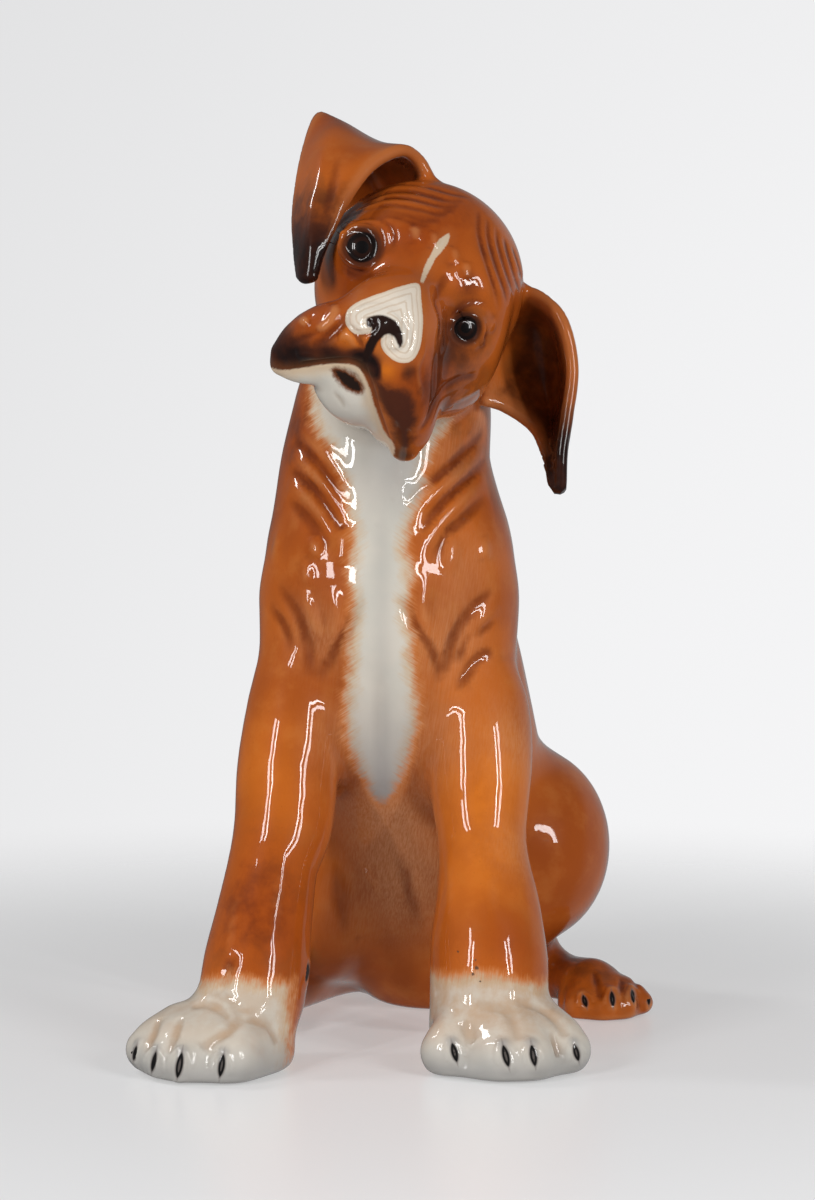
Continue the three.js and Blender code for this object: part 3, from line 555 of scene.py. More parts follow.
# Each row is a line, its depth and its width
HEAD_LINES = [
    *[(line, 1.15 + 0.25 * (n % 2), 2.0 + 0.3 * (n % 3)) for n, line in enumerate(FOREHEAD)],
    *[(line, 1.15 + 0.2 * (n % 2), 2.1) for n, line in enumerate(TEMPLE)],
    # stop, cheek and side of the muzzle
    ([(22, -24), (15.5, -11.5), (8.5, -6), (6.5, 2), (6.5, 8.5)], 1.2, 3),
    ([(45.5, -19.5), (40, -26), (36.5, -33), (35.5, -40), (36.5, -45.5), (38, -51),
      (38, -58.5)], 1.8, 2.4),
    ([(52, -17), (47.5, -28), (43.5, -35.5), (43.5, -41)], -1.2, 3),
    ([(15, -24), (17.5, -29), (19, -35), (23, -40), (28, -44), (29, -48)], -0.6, 1.2),
    ([(22, -23.5), (26.5, -32), (31.5, -39), (36, -47)], 0.8, 1.6),
    # right upper lip: valley, crest and the wedge beside the nose
    ([(-20.5, -35), (-19.5, -41.5), (-20.5, -46.5), (-22, -52), (-24, -57)], 3.0, 2.6),
    ([(-27, -35), (-25, -39), (-24.5, -44), (-26, -50)], -1.8, 2.6),
    ([(-18, -45.5), (-13, -43), (-7, -46)], -2.0, 3.0),
    ([(-16, -41), (-11, -41.5), (-6, -43.5), (-3.5, -46.5)], 1.2, 1.4),
    ([(-33, -63), (-29.8, -56.2), (-26.5, -51.4), (-21.9, -48.5)], 1.2, 1.7),
    ([(-31.5, -66), (-26.9, -61.2), (-20.4, -57.2), (-16, -53)], 1.0, 1.6),
    ([(-4.5, -37), (-3, -41.5), (-1, -47), (0, -51)], 1.9, 1.7),
    (LIP_LINE, 1.6, 1.5),
    ([(-23, -68), (-16.5, -62), (-10.5, -57), (-5, -54), (0.5, -53.5), (6.5, -57),
      (13, -61), (20.5, -66), (29, -71)], -0.9, 1.5),
    ([(-4.5, -67), (1, -68), (5.5, -70)], 0.7, 1.8),
    ([(-39, -53), (-34, -49.5), (-30, -46.5)], -1.7, 2.4),
    ([(-28, -63.5), (-24, -60.6), (-20, -57.5)], -1.5, 2.2),
    # soft bumps of the brow on both sides of the blaze
    ([(-14.6, 10.8), (-17, 14), (-19.4, 17.2)], -1.1, 2.6),
    ([(-6.1, 13.9), (-8.5, 17.1), (-10.9, 20.3)], -0.9, 2.6),
    ([(5.9, 13.8), (3.5, 17), (1.1, 20.2)], -1.0, 2.6),
    ([(14, 11.7), (11.6, 14.9), (9.2, 18.1)], -1.1, 2.8),
    # nose
    (RIGHT_SPIRAL, 1.5, 1.25),
    (LEFT_SPIRAL, 1.5, 1.25),
    ([(-16.5, -36.5), (-18, -31), (-16, -26), (-10, -21.5), (-3, -20), (4.5, -22),
      (10, -27), (11.5, -33), (10, -37)], 0.6, 1.1),
    ([(-14, -36), (-15.5, -31), (-13, -27), (-7.5, -22.5), (-1, -22.5), (6, -25.5),
      (9.5, -31)], 0.6, 1.0),
    ([(-5, -27.5), (-1, -27), (3, -28.5)], -1.3, 3.5),
    ([(2, -36), (4, -35)], 1.5, 3.0),
    ([(-10, -34), (-9, -33)], 1.5, 2.4),
    # creases round the right eye
    ([(-44, 2), (-40, 8), (-33, 10.5), (-26, 9), (-21, 3)], 0.8, 1.5),
    ([(-41, -14), (-34, -18), (-26, -17), (-20, -11)], 0.7, 1.6),
]

BODY_LINES = [
    # right ear, laid on from the front
    ([(-31.5, 430), (-33.5, 410), (-37, 388), (-38, 374)], -1.6, 3.6),
    ([(-24, 428), (-28, 406), (-32, 388), (-35, 370)], 1.2, 3.4),
    ([(-15, 424), (-22, 406), (-27, 388)], -1.2, 3.0),
    ([(-39, 416), (-36, 402), (-33, 394)], -0.9, 3.0),
    # neck
    ([(-46, 300), (-38, 292), (-31, 284), (-20, 268)], -1.9, 4.4),
    ([(-47, 293), (-40, 286), (-33, 278), (-21, 261)], 2.0, 3.6),
    ([(-48, 286), (-41, 280), (-33, 272), (-20, 252)], -2.0, 4.2),
    ([(-49, 279), (-42, 273), (-34, 265), (-22, 246)], 2.0, 3.6),
    ([(-50, 272), (-43, 267), (-35, 259), (-23, 240)], -1.8, 4.2),
    ([(-50, 264), (-44, 259), (-37, 251), (-28, 240)], 1.4, 4.0),
    ([(46, 298), (34, 284), (22, 273), (6, 262)], 2.0, 3.8),
    ([(45, 289), (35, 279), (22, 268), (8, 256)], -1.8, 4.2),
    ([(11, 284), (4, 268), (-3, 250)], -1.5, 4.8),
    ([(46, 282), (36, 272), (25, 261), (13, 244)], 2.0, 3.8),
    ([(46, 275), (35, 265), (23, 253), (12, 236)], -1.8, 4.2),
    ([(46, 265), (37, 256), (27, 247), (20, 234)], 1.3, 4.0),
    # small bumps of the shoulders
    ([(-53, 250), (-55, 240), (-56, 230)], -1.1, 4.0),
    ([(-37, 247), (-36, 241), (-37, 236)], -1.4, 3.6),
    ([(-41, 234), (-40, 228), (-40, 221)], -1.3, 3.4),
    ([(-24, 250), (-22, 243), (-24, 232)], -1.5, 4.2),
    ([(28, 250), (29, 240), (28, 228)], -1.3, 4.0),
    ([(44, 246), (45, 240), (45, 235)], -1.1, 3.4),
    # breast
    ([(-56, 226), (-46, 210), (-40, 194), (-38, 178)], 2.0, 4.2),
    ([(-60, 214), (-52, 204), (-46, 190)], 1.3, 3.7),
    ([(-44, 224), (-38, 210), (-35, 196)], -1.3, 3.7),
    ([(-30, 222), (-25, 209), (-27, 199), (-32, 186)], -1.6, 4.2),
    ([(-12, 222), (-19, 205), (-27, 193), (-36, 176)], 2.0, 4.0),
    ([(3, 222), (12, 206), (20, 194), (25, 176)], 2.1, 4.0),
    ([(18, 230), (15, 214), (17, 203), (23, 190)], -1.7, 4.0),
    ([(50, 222), (38, 210), (29, 195), (27, 180)], 2.0, 3.8),
    ([(50, 206), (38, 198), (31, 184)], 1.7, 3.7),
    ([(52, 214), (42, 203), (34, 190)], -1.2, 3.2),
    ([(50, 192), (40, 186), (32, 172)], 1.4, 3.7),
    ([(-5, 200), (-5, 175), (-5, 150), (-5, 128)], 1.2, 6.9),
    # wrists
    ([(-70, 88), (-72.5, 74), (-74.5, 60), (-75, 48)], -1.2, 3.6),
    ([(-50, 104), (-51.5, 88), (-54, 71), (-56, 56)], -1.1, 3.6),
    ([(27, 98), (28, 81), (28.5, 62)], -1.2, 3.6),
    ([(46, 96), (47, 81), (47, 66)], -1.0, 3.8),
    # belly
    ([(4.5, 92), (9, 70), (13, 50)], 1.2, 4.5),
    ([(-28, 83), (-26, 63), (-22, 42)], 0.9, 4.5),
]

PAW_LINES = [
    # right forepaw
    ([(-106.5, 25.5), (-108.5, 20.5), (-110, 13)], 1.2, 2.4),
    ([(-95.5, 27.5), (-98, 21.5), (-100, 14)], 1.2, 2.4),
    ([(-72.5, 34), (-69.5, 28), (-73.5, 24), (-79, 20.5), (-85, 16)], 1.8, 3.0),
    ([(-91.5, 30.5), (-84, 32), (-77, 30), (-72, 26)], 1.2, 2.4),
    ([(-69.5, 26.5), (-62, 26), (-55.5, 22.5), (-52, 14)], 1.0, 2.6),
    ([(-84, 37), (-76, 36), (-68, 31), (-60, 29)], 0.9, 2.4),
    ([(-73, 54), (-76, 46), (-77.5, 39)], 1.1, 3),
    # left forepaw
    ([(33, 25), (36, 21), (38.5, 17)], 1.6, 2.8),
    ([(39, 32.5), (46, 31.5), (53, 30), (56, 26.5), (58, 19)], 1.1, 2.6),
    ([(58, 33.5), (69, 29.5), (76, 25), (80.5, 18)], 1.1, 2.4),
    ([(74, 21), (76, 15), (77, 10)], 1.0, 2.2),
    # left hind paw
    ([(103, 22), (104, 16), (104.5, 10)], 0.9, 1.8),
    ([(114, 22), (116, 16), (117, 10)], 0.9, 1.8),
    ([(120, 22), (124.5, 16), (126.5, 9)], 0.9, 1.8),
]

PAW_FOLDS = [Stroke(line, 1.25 * depth, width) for line, depth, width in PAW_LINES]
STROKES = [
    *[Stroke(line, depth, width, True, ends=0.7) for line, depth, width in HEAD_LINES],
    *[Stroke(line, depth, width, ends=1.0) for line, depth, width in BODY_LINES],
    *PAW_FOLDS,
]


def nail_line(top, low):
    """The middle of a nail, the direction of its upper end and its length."""
    top, low = np.array(top), np.array(low)
    tall = length(top - low)
    return (top + low) / 2, (top - low) / tall, tall


def hood(top, low):
    """The fold of skin over a nail, an arch around its upper end."""
    middle, up, tall = nail_line(top, low)
    across = np.array([up[1], -up[0]]) * (2.2 + 0.2 * tall)
    arch = [(-1.15, -0.55), (-1.05, 0.1), (-0.6, 0.72), (0, 0.95), (0.6, 0.72), (1.05, 0.1),
            (1.15, -0.55)]
    return [middle + across * a + up * tall * 0.62 * b for a, b in arch]


NAIL_PADS = [Stroke([top, low], -1.0 * half, 3.0, ends=0) for top, low, half in NAILS]
NAIL_MARKS = []
for top, low, half in NAILS:
    if half > 1:
        NAIL_MARKS.append(Stroke(hood(top, low), -0.9, 0.95, ends=0.5))
    NAIL_MARKS.append(Stroke([top, low], 1.0, 0.8 * half, ends=0.4))


def skin(p):
    d = smooth_skin(p)
    for stroke in STROKES + NAIL_PADS + NAIL_MARKS:
        d = d + stroke.depth * stroke.mark(p)
    return d


# The skin as a mesh: one point in each grid cell that it passes through, then finer triangles
# where the face, ears and paws need them


def sample_grid(low, high, step, block=4):
    """The distance on a grid, read exactly near the skin and from every block elsewhere."""
    count = np.ceil((high - low) / (step * block)).astype(int) + 1
    axes = [low[k] + np.arange(count[k]) * step * block for k in range(3)]
    rough = np.stack(np.meshgrid(*axes, indexing="ij"), -1).reshape(-1, 3)
    values = smooth_skin(rough).reshape(count)
    fine = (count - 1) * block + 1
    for axis in range(3):
        values = np.moveaxis(values, axis, 0)
        n = np.arange(fine[axis])
        low_n = np.minimum(n // block, count[axis] - 2)
        t = (n / block - low_n)[:, None, None]
        values = values[low_n] * (1 - t) + values[low_n + 1] * t
        values = np.moveaxis(values, 0, axis)
    values = np.ascontiguousarray(values)
    band = np.abs(values) < step * (2.2 + 0.35 * block)
    values[band] = smooth_skin(low + np.argwhere(band) * step)
    return values


def net(values, low, step):
    """The points and triangles of the skin through a grid of distances."""
    inside = values < 0
    shape = np.array(values.shape) - 1
    corners = np.array([(x, y, z) for x in (0, 1) for y in (0, 1) for z in (0, 1)])
    count = np.zeros(shape, np.int8)
    for x, y, z in corners:
        count += inside[x:x + shape[0], y:y + shape[1], z:z + shape[2]]
    cells = np.argwhere((count > 0) & (count < 8))
    number = np.full(shape, -1)
    number[tuple(cells.T)] = np.arange(len(cells))
    f = np.stack([values[tuple((cells + c).T)] for c in corners], 1)
    total = np.zeros((len(cells), 3))
    crossings = np.zeros(len(cells))
    for i in range(8):
        for j in range(i + 1, 8):
            if np.abs(corners[i] - corners[j]).sum() != 1:
                continue
            cross = (f[:, i] < 0) != (f[:, j] < 0)
            t = np.where(cross, f[:, i] / np.where(cross, f[:, i] - f[:, j], 1), 0)
            spot = corners[i] + t[:, None] * (corners[j] - corners[i])
            total += spot * cross[:, None]
            crossings += cross
    points = low + (cells + total / crossings[:, None]) * step
    rings = []
    for axis in range(3):
        here = [slice(1, -1)] * 3
        there = [slice(1, -1)] * 3
        here[axis] = slice(0, -1)
        there[axis] = slice(1, None)
        a, b = inside[tuple(here)], inside[tuple(there)]
        side = np.eye(3, dtype=int)[(axis + 1) % 3]
        up = np.eye(3, dtype=int)[(axis + 2) % 3]
        shift = np.ones(3, int)
        shift[axis] = 0
        for outward, edges in ((1, a & ~b), (-1, ~a & b)):
            e = np.argwhere(edges) + shift
            ring = [number[tuple((e - d).T)] for d in (side + up, up, 0 * up, side)]
            rings.append(np.stack(ring[::outward], 1))
    ring = np.concatenate(rings)
    one = length(points[ring[:, 0]] - points[ring[:, 2]])
    two = length(points[ring[:, 1]] - points[ring[:, 3]])
    p, q = ring[one <= two], ring[one > two]
    faces = [p[:, [0, 1, 2]], p[:, [0, 2, 3]], q[:, [0, 1, 3]], q[:, [1, 2, 3]]]
    return points, np.concatenate(faces)


TETRA = np.array([(1, -1, -1), (-1, -1, 1), (-1, 1, -1), (1, 1, 1)], float)


def slope_and_mean(field, p, reach):
    around = np.stack([field(p + t * reach) for t in TETRA], 1)
    return around @ TETRA / (4 * reach), around.mean(1)


def slope_and_bend(field, p, reach):
    """The slope of the distance and the sum of the skin's two curvatures."""
    slope, mean = slope_and_mean(field, p, reach)
    return slope, 2 * (mean - field(p)) / reach**2


def drawn_tight(field, p, limit):
    """The points moved onto the skin, each by the limit at most."""
    slope, mean = slope_and_mean(field, p, SLOPE_REACH)
    square = np.maximum((slope**2).sum(1), 0.05)
    step = (mean / square)[:, None] * slope
    return p - step * np.minimum(1, limit / np.maximum(length(step), 1e-9))[:, None]


def longest_edge(p):
    """How long an edge may be at each place, in millimetres."""
    x, y, z = p.T
    h = to_head(p)
    across, ahead, up = h.T
    out = np.full(len(p), 5.8)
    for zone, edge in (
        (length(h) < 100, 2.7),
        ((ahead > 12) & (np.abs(across) < 52) & (up > -82) & (up < 50), 1.95),
        (length((h - [0, 80, -38]) / [26, 30, 22]) < 1, 1.2),
        (length((h - [4, 56, -60]) / [40, 24, 14]) < 1, 1.3),
        *[(length(h - place) < 15 * size, 1.0) for place, _, size, _ in EYES],
        ((z < 36) & (y < -52), 2.3),
        ((z < 26) & (x > 84) & (y < 60), 1.9),
    ):
        out[zone] = edge
    neck = (y < -10) & (z > 175) & (np.abs(x) < 56) & (length(h) >= 70)
    out[neck] = np.minimum(out[neck], 3.0)
    for pad in NAIL_PADS:
        close, away, _ = pad.nearest(p)
        out[close] = np.where(away < 4.5, 0.9, out[close])
    return out


def split_long(points, faces):
    """The triangles with every edge that is too long cut in the middle."""
    sides = np.sort(faces[:, [[0, 1], [1, 2], [2, 0]]], axis=2).reshape(-1, 2)
    keys = sides[:, 0] * len(points) + sides[:, 1]
    unique, which = np.unique(keys, return_inverse=True)
    a, b = unique // len(points), unique % len(points)
    middle = (points[a] + points[b]) / 2
    cut = length(points[a] - points[b]) > longest_edge(middle)
    fresh = np.full(len(unique), -1)
    fresh[cut] = len(points) + np.arange(cut.sum())
    mark = fresh[which].reshape(-1, 3)
    number = (mark >= 0).sum(1)
    out = [faces[number == 0]]
    full = number == 3
    (i, j, k), (x, y, z) = faces[full].T, mark[full].T
    out += [np.stack(t, 1) for t in ((i, x, z), (x, j, y), (z, y, k), (x, y, z))]
    for turn in range(3):
        f = np.roll(faces, -turn, axis=1)
        m = np.roll(mark, -turn, axis=1)
        single = (number == 1) & (m[:, 0] >= 0)
        (i, j, k), x = f[single].T, m[single, 0]
        out += [np.stack(t, 1) for t in ((i, x, k), (x, j, k))]
        double = (number == 2) & (m[:, 0] < 0)
        (i, j, k), (_, y, z) = f[double].T, m[double].T
        out += [np.stack(t, 1) for t in ((i, j, y), (i, y, z), (z, y, k))]
    points = np.concatenate([points, middle[cut]])
    return points, np.concatenate(out)


def skin_mesh():
    points, faces = net(sample_grid(*REGION, GRID_STEP), REGION[0], GRID_STEP)
    points = drawn_tight(smooth_skin, points, 2)
    for _ in range(3):
        start = len(points)
        points, faces = split_long(points, faces)
        points[start:] = drawn_tight(skin, points[start:], 2)
    for limit in (2, 1):
        points = drawn_tight(skin, points, limit)
    points[np.abs(points[:, 2]) < ON_GROUND, 2] = 0
    return points, faces


# What each point of the skin is glazed with, and where shade and light are painted on it.
# Distances are in millimetres and negative inside.


def smooth_loop(outline, per_span=4):
    guide = np.array(outline, float)
    guide = np.concatenate([guide[-1:], guide, guide[:2]])
    return through(guide, np.arange(len(outline) * per_span) / per_span)


def area_distance(points, outline):
    """Signed distance in a plane to an area drawn by its outline."""
    a = smooth_loop(outline)
    b = np.roll(a, -1, axis=0)
    best = np.full(len(points), np.inf)
    inside = np.zeros(len(points), bool)
    for p, q in zip(a, b):
        span = q - p
        t = np.clip((points - p) @ span / (span @ span), 0, 1)
        best = np.minimum(best, ((points - p - t[:, None] * span) ** 2).sum(1))
        rises = (p[1] > points[:, 1]) != (q[1] > points[:, 1])
        height = span[1] if span[1] else 1
        cross = p[0] + (points[:, 1] - p[1]) * span[0] / height
        inside ^= rises & (points[:, 0] < cross)
    return np.where(inside, -1, 1) * np.sqrt(best)


CHEST_STRIPE = [
    (-38, 312), (-35, 298), (-29, 289), (-24, 280), (-21.5, 273), (-20.5, 263), (-18.5, 254),
    (-16.5, 244), (-18, 235), (-19, 226), (-17.5, 216), (-18, 204), (-19, 195), (-19.5, 185),
    (-20.5, 173), (-21, 157), (-18, 141), (-12, 127), (-5, 117), (-1.5, 117), (3.5, 127),
    (9, 142), (12, 158), (11.5, 173), (9.5, 188), (10.5, 197), (8, 204), (7, 215), (9, 223),
    (9, 233), (6.5, 241), (8, 249), (11.5, 260), (16, 270), (15, 277), (18.5, 286), (24, 296),
    (31, 312), (20, 335), (-30, 330),
]
CHIN = [
    (-38, -78), (-28.5, -73), (-23.5, -68.5), (-17, -61.8), (-10.5, -56), (-5, -52.5), (0, -52),
    (8, -56), (16, -61.5), (24.5, -66.5), (36, -72.5), (30, -92), (0, -100), (-30, -92),
]
KITE = [
    (-2.5, -5), (-8.5, -11.5), (-13.5, -19), (-19, -27.5), (-21, -34), (-18, -39.5), (-12, -41),
    (-7, -37), (-3, -34), (0, -38), (5, -40), (11, -39.5), (15.5, -35.5), (15, -28), (9, -18),
    (3, -11),
]
BLAZE = [(-2.5, -3), (-4.6, 4), (-6.2, 14), (-6.5, 19), (-4.5, 24), (-2.4, 20), (-2.6, 10),
         (-1, -3)]
NOSE_LEATHER = [
    (-11.8, -32.5), (-9.5, -28.8), (-6, -26.6), (-1, -25.8), (3.5, -27.4), (6.8, -30.5),
    (7.8, -34), (5.8, -33.2), (3.2, -31.8), (0.2, -32.2), (-1.5, -35), (-1.6, -39), (-0.6, -43),
    (-0.6, -48), (-3.2, -46.5), (-5.2, -42), (-6.2, -37.5), (-8, -34.5), (-9.5, -35.2),
]
LEFT_LIP = [(1, -49), (8, -53.8), (16, -59.3), (24.5, -64.3), (33.5, -69.5), (39, -70), (39, -64),
            (34.5, -55), (28, -49.5), (21, -47.5), (15, -50), (9, -50.5), (5, -46)]
LIP_SPOT = [(-10, -59), (-6, -56.6), (-1, -56), (4, -57), (6, -59.5), (2, -61.5), (-4, -61.5)]

THROAT_SHADE = np.array([2.0, -45, 282])
CHIN_SHADE = np.array([14.0, 50, -70])

# Airbrushed spots in the head's axes: place, radius, and how dark, warm and deep red they are.
# Amounts of nothing at the end of a row are left out.
HEAD_SPOTS = [
    ((-32, 50, -66), 12, 1.1),
    ((-24, 62, -60), 10, 1.0),
    ((-14, 70, -54), 7, 1.0),
    ((-5, 76, -49), 6, 0.9),
    ((-37, 46, -54), 8, 0.6),
    ((-25, 66, -44), 5, 0.6),
    ((-28, 60, -40), 16, 0, 0, 1.0),
    ((-13, 78, -43), 5, -0.2, 1.0),
    ((0, 79, -49), 5, 1.3),
    ((5, 80, -50), 5, 1.1),
    ((10, 80, -45), 3.8, -0.9, 1.3),
    ((37, 49, -69), 7, 0.9),
    ((16, 78, -40), 4, 0.7),
    ((28, 66, -42), 16, 0.42, 0, 1.1),
    ((16, 74, -38), 9, 0.2, 0, 0.7),
    ((20, 60, -20), 9, 0.4),
    ((14, 55, -10), 8, 0.25, 0, 0.5),
    (RIGHT_EYE, 14, 0.28),
    (LEFT_EYE, 14, 0.3),
    ((34, 46, -22), 17, 0.33),
    ((44, 32, -32), 17, 0.3),
    ((38, 44, -42), 8, 0.2, 0, 0.4),
    ((24, 60, -30), 9, 0.25, 0, 0.5),
    ((16, 50, 10), 6, 0.3, 0, 0.6),
    ((-46, 22, -14), 10, 0.25, 0, 0.5),
    ((-30, 40, -24), 16, 0.12, 0, 0.8),
    ((-14, 44, 12), 22, 0.05, 0, 0.95),
    ((30, 32, 20), 20, 0.12, 0, 0.7),
    ((-8, 28, 38), 22, 0.1, 0, 0.7),
    ((-2, 62, -12), 12, 0, 0, 0.7),
    ((6.5, 72, -35), 2.5, 0.8),
]

# The same on the body; one of them is painted light
BODY_SPOTS = [
    ((-70, -70, 130), 34, 0, 0.7),
    ((46, -56, 130), 34, 0, 0.8),
    ((46, -75, 92), 26, 0, 0.6),
    ((-62, -84, 74), 34, 0.24, 0, 1.0),
    ((-72, -74, 112), 22, 0.05, 0, 0.5),
    ((52, -84, 58), 16, 0.1, 0, 0.8),
    ((-42, -20, 300), 28, 0.35, 0, 0.8),
    ((42, -30, 290), 22, 0.25, 0, 0.3),
    ((-60, 20, 20), 26, 0.6),
    ((106, 60, 14), 34, 0.5, 0, 0.6),
    ((92, 46, 14), 9, 0, 0.9),
    ((112, 70, 84), 30, 0.08, 0.2, 0.8),
    ((-30, -16, 440), 24, 0.08, 0, 0.8),
    # painted light: a lighter, warmer patch in the shadow between the lifted right ear and the eye
    ((-24, -70, 386), 12, -0.2, 0.6),
    ((-24, -64, 404), 9, 0.12),
]

# Where the caramel is sprayed thin and the pale clay shows: place, radius, amount
PALE_SPOTS = [
    ((-4, -20, 112), 26, 0.8),
    ((6, -8, 84), 28, 0.65),
    ((-2, 0, 58), 26, 0.6),
    ((24, -42, 196), 20, 0.55),
    ((-30, -42, 200), 17, 0.45),
    ((34, -40, 232), 18, 0.3),
    ((16, -44, 150), 20, 0.5),
    ((-26, -40, 150), 16, 0.4),
    ((66, -50, 150), 20, 0.5),
    ((60, -60, 100), 16, 0.3),
    ((34, -44, 286), 14, 0.6),
    ((46, -20, 306), 14, 0.5),
    ((66, -36, 320), 12, 0.4),
]


def spot(p, place, radii):
    return np.exp(-(((p - place) / radii) ** 2).sum(1))


def spots(p, rows):
    total = np.zeros((3, len(p)))
    for place, radius, *amounts in rows:
        total[:len(amounts)] += np.outer(amounts, spot(p, place, radius))
    return total


def glazes(p, n, fine_bend, broad_bend):
    """Every painted amount, by name, for the points p with normals n."""
    x, y, z = p.T
    h = to_head(p)
    ahead = h[:, 1]
    head_front, body_front = h[:, [0, 2]], p[:, [0, 2]]
    far = 60.0
    on_head = bounded(WHOLE_HEAD, p, 6) < 3

    def drawn(outline, where):
        return np.where(where, area_distance(head_front, outline), far)

    breast = np.maximum(area_distance(body_front, CHEST_STRIPE), y + 15)
    breast = np.where((on_head & (ahead > 20)) | (z < 100), far, breast)
    chin = np.where(on_head, np.maximum(area_distance(head_front, CHIN), 6 - ahead), far)
    kite = drawn(KITE, ahead > 40)
    blaze = drawn(BLAZE, ahead > 30)
    # how high the white reaches on each forepaw
    border = np.where(
        x < 0,
        np.interp(x, [-90, -74, -60, -46], [38, 44, 41.5, 39.5]),
        np.interp(x, [27, 39, 50, 60, 71], [42, 45.5, 45, 41, 38]),
    )
    forefoot = (y < -36) & (z < 80)
    # the caramel runs down the inner side of the right forepaw
    inner_side = np.where(x < 0, x + 47, -far)
    paw_white = np.maximum(np.where(forefoot, z - border, far), inner_side)
    ivory = np.minimum.reduce([breast, chin, paw_white, kite, blaze])
    feather = np.full(len(p), 1.2)
    for area, reach in ((breast, 7.0), (paw_white, 6.5), (blaze, 0.9), (kite, 0.5)):
        feather[area <= ivory + 0.01] = reach
    dark, warm, deep = spots(h, HEAD_SPOTS) + spots(p, BODY_SPOTS)
    pale = spots(p, PALE_SPOTS)[0]
    rim = np.zeros(len(p))
    on_any_ear, beside_ear = np.zeros((2, len(p)), bool)
    # each ear, where its dark tip starts, how dark it is inside and which side that is
    ears = ((RIGHT_EAR, 3.3, 0.35, 1), (LEFT_EAR, 2.9, 0.46, -1))
    for leaf, tip_start, inside, hollow_side in ears:
        close = past_box(p, leaf.low, leaf.high) < 2
        away, uv = leaf.closest(p[close])
        _, along, over = leaf.at(uv)
        facing = np.cross(along, over)
        facing /= length(facing)[:, None] + 1e-9
        on_ear = held(2 - (away - leaf.half) / 1.5) * held(uv[:, 0] * 1.5)
        on_any_ear[close] |= on_ear > 0.3
        on_ear *= np.where(on_head[close], 0.35, 1)
        beside_ear[close] |= on_head[close] & (away < leaf.half + 12)
        tip = held((uv[:, 0] - tip_start) / 1.6)
        hollow = held((n[close] * facing).sum(1) * hollow_side * 1.5) * inside
        edge = np.exp(-((np.minimum(uv[:, 1], 3 - uv[:, 1]) / 0.16) ** 2))
        dark[close] += on_ear * (tip + hollow * (1 - 0.6 * edge) * (1 - tip))
        rim[close] = on_ear * edge * (1 - tip)
    crease = np.clip(-fine_bend / 0.8 - 0.05, 0, 0.5) + np.clip(-broad_bend / 0.13 - 0.08, 0, 0.9)
    crease *= np.where(beside_ear, 0.25, 1)
    from_eyes = np.minimum(*[length(h - place) for place, *_ in EYES])
    ridge = held((broad_bend - 0.16) / 0.25) * ~on_any_ear * held(from_eyes / 7 - 1.6)
    stain = forefoot * np.where(x > 0, 1.0, 0.6) * held((z - 12) / 16)
    for stroke in PAW_FOLDS:
        close, away, along = stroke.nearest(p)
        near = np.exp(-((away / (1.5 * stroke.width)) ** 2)) * np.sin(np.pi * along) ** 0.5
        stain[close] = np.maximum(stain[close], near)
    black = np.full(len(p), far)
    grey_and_shade = np.zeros(len(p))
    for pad, (top, low, half) in zip(NAIL_PADS, NAILS):
        close, away, _ = pad.nearest(p)
        padded = np.exp(-((away / pad.width) ** 2))
        middle, rise, tall = nail_line(top, low)
        q = body_front[close] - middle
        along = q @ rise / (tall / 2)
        width = half * held(1 - along**2) ** 0.8
        beside = np.abs(q[:, 0] * rise[1] - q[:, 1] * rise[0])
        slit = beside - width + np.maximum(np.abs(along) - 1, 0)
        black[close] = np.where(padded > 0.3, np.minimum(black[close], slit), black[close])
        # a greyish outline in the pad round each nail
        grey_and_shade[close] = np.maximum(grey_and_shade[close], padded)
    grey_and_shade = np.maximum.reduce([
        grey_and_shade,
        # painted shade low on the toes, on the throat under the chin, on the foot of the stripe and
        # at the side of the chin, and a greyish line down the middle of the stripe
        held((19 - z) / 14) * held((-84 - y) / 8) * 0.9,
        0.75 * spot(p, THROAT_SHADE, [20, 40, 26]),
        (breast < 3) * (0.8 * held((175 - z) / 50) + 0.3 * np.exp(-(((x + 4) / 5) ** 2))),
        0.4 * spot(h, CHIN_SHADE, [15, 20, 9]),
    ])
    eye_depth = np.full(len(p), far)
    for (eye_x, eye_y, eye_z), side, size, lean in EYES:
        q = (h - [eye_x - side * lean * 2 * size, eye_y, eye_z]) / size
        flat = length(q[:, [0, 2]]) * (1 if side < 0 else 1.1)
        eye_depth = np.where(np.abs(q[:, 1]) < 9, np.minimum(eye_depth, flat), eye_depth)
    return dict(
        ivory=ivory, feather=feather, dark=dark, warm=warm, deep=deep, pale=pale, rim=rim,
        crease=np.clip(crease, 0, 1.4), ridge=ridge, black=black, grey_and_shade=grey_and_shade, stain=stain,
        eye=eye_depth, kite=kite, leather=drawn(NOSE_LEATHER, ahead > 66),
        spot=drawn(LIP_SPOT, ahead > 50), left_lip=drawn(LEFT_LIP, on_head & (ahead > 25)),
    )


def figure():
    points, faces = skin_mesh()
    slope, fine = slope_and_bend(skin, points, FINE_REACH)
    normals = slope / np.maximum(length(slope), 1e-9)[:, None]
    _, broad = slope_and_bend(skin, points, BROAD_REACH)
    painted = glazes(points, normals, fine, broad)
    mesh = bpy.data.meshes.new("puppy_skin")
    mesh.vertices.add(len(points))
    mesh.vertices.foreach_set("co", ((points - FOOTPRINT) * MM).ravel())
    mesh.loops.add(faces.size)
    mesh.loops.foreach_set("vertex_index", faces.ravel().astype(np.int32))
    mesh.polygons.add(len(faces))
    mesh.polygons.foreach_set("loop_start", np.arange(len(faces), dtype=np.int32) * 3)
    mesh.update(calc_edges=True)
    mesh.polygons.foreach_set("use_smooth", np.ones(len(faces), bool))
    mesh.normals_split_custom_set_from_vertices(normals)
    for name, values in painted.items():
        layer = mesh.attributes.new(name, "FLOAT", "POINT")
        layer.data.foreach_set("value", values.astype(np.float32))
    print("skin", len(points), "points", len(faces), "triangles")
    piece = bpy.data.objects.new("puppy_skin", mesh)
    bpy.context.collection.objects.link(piece)
    return piece


# Materials

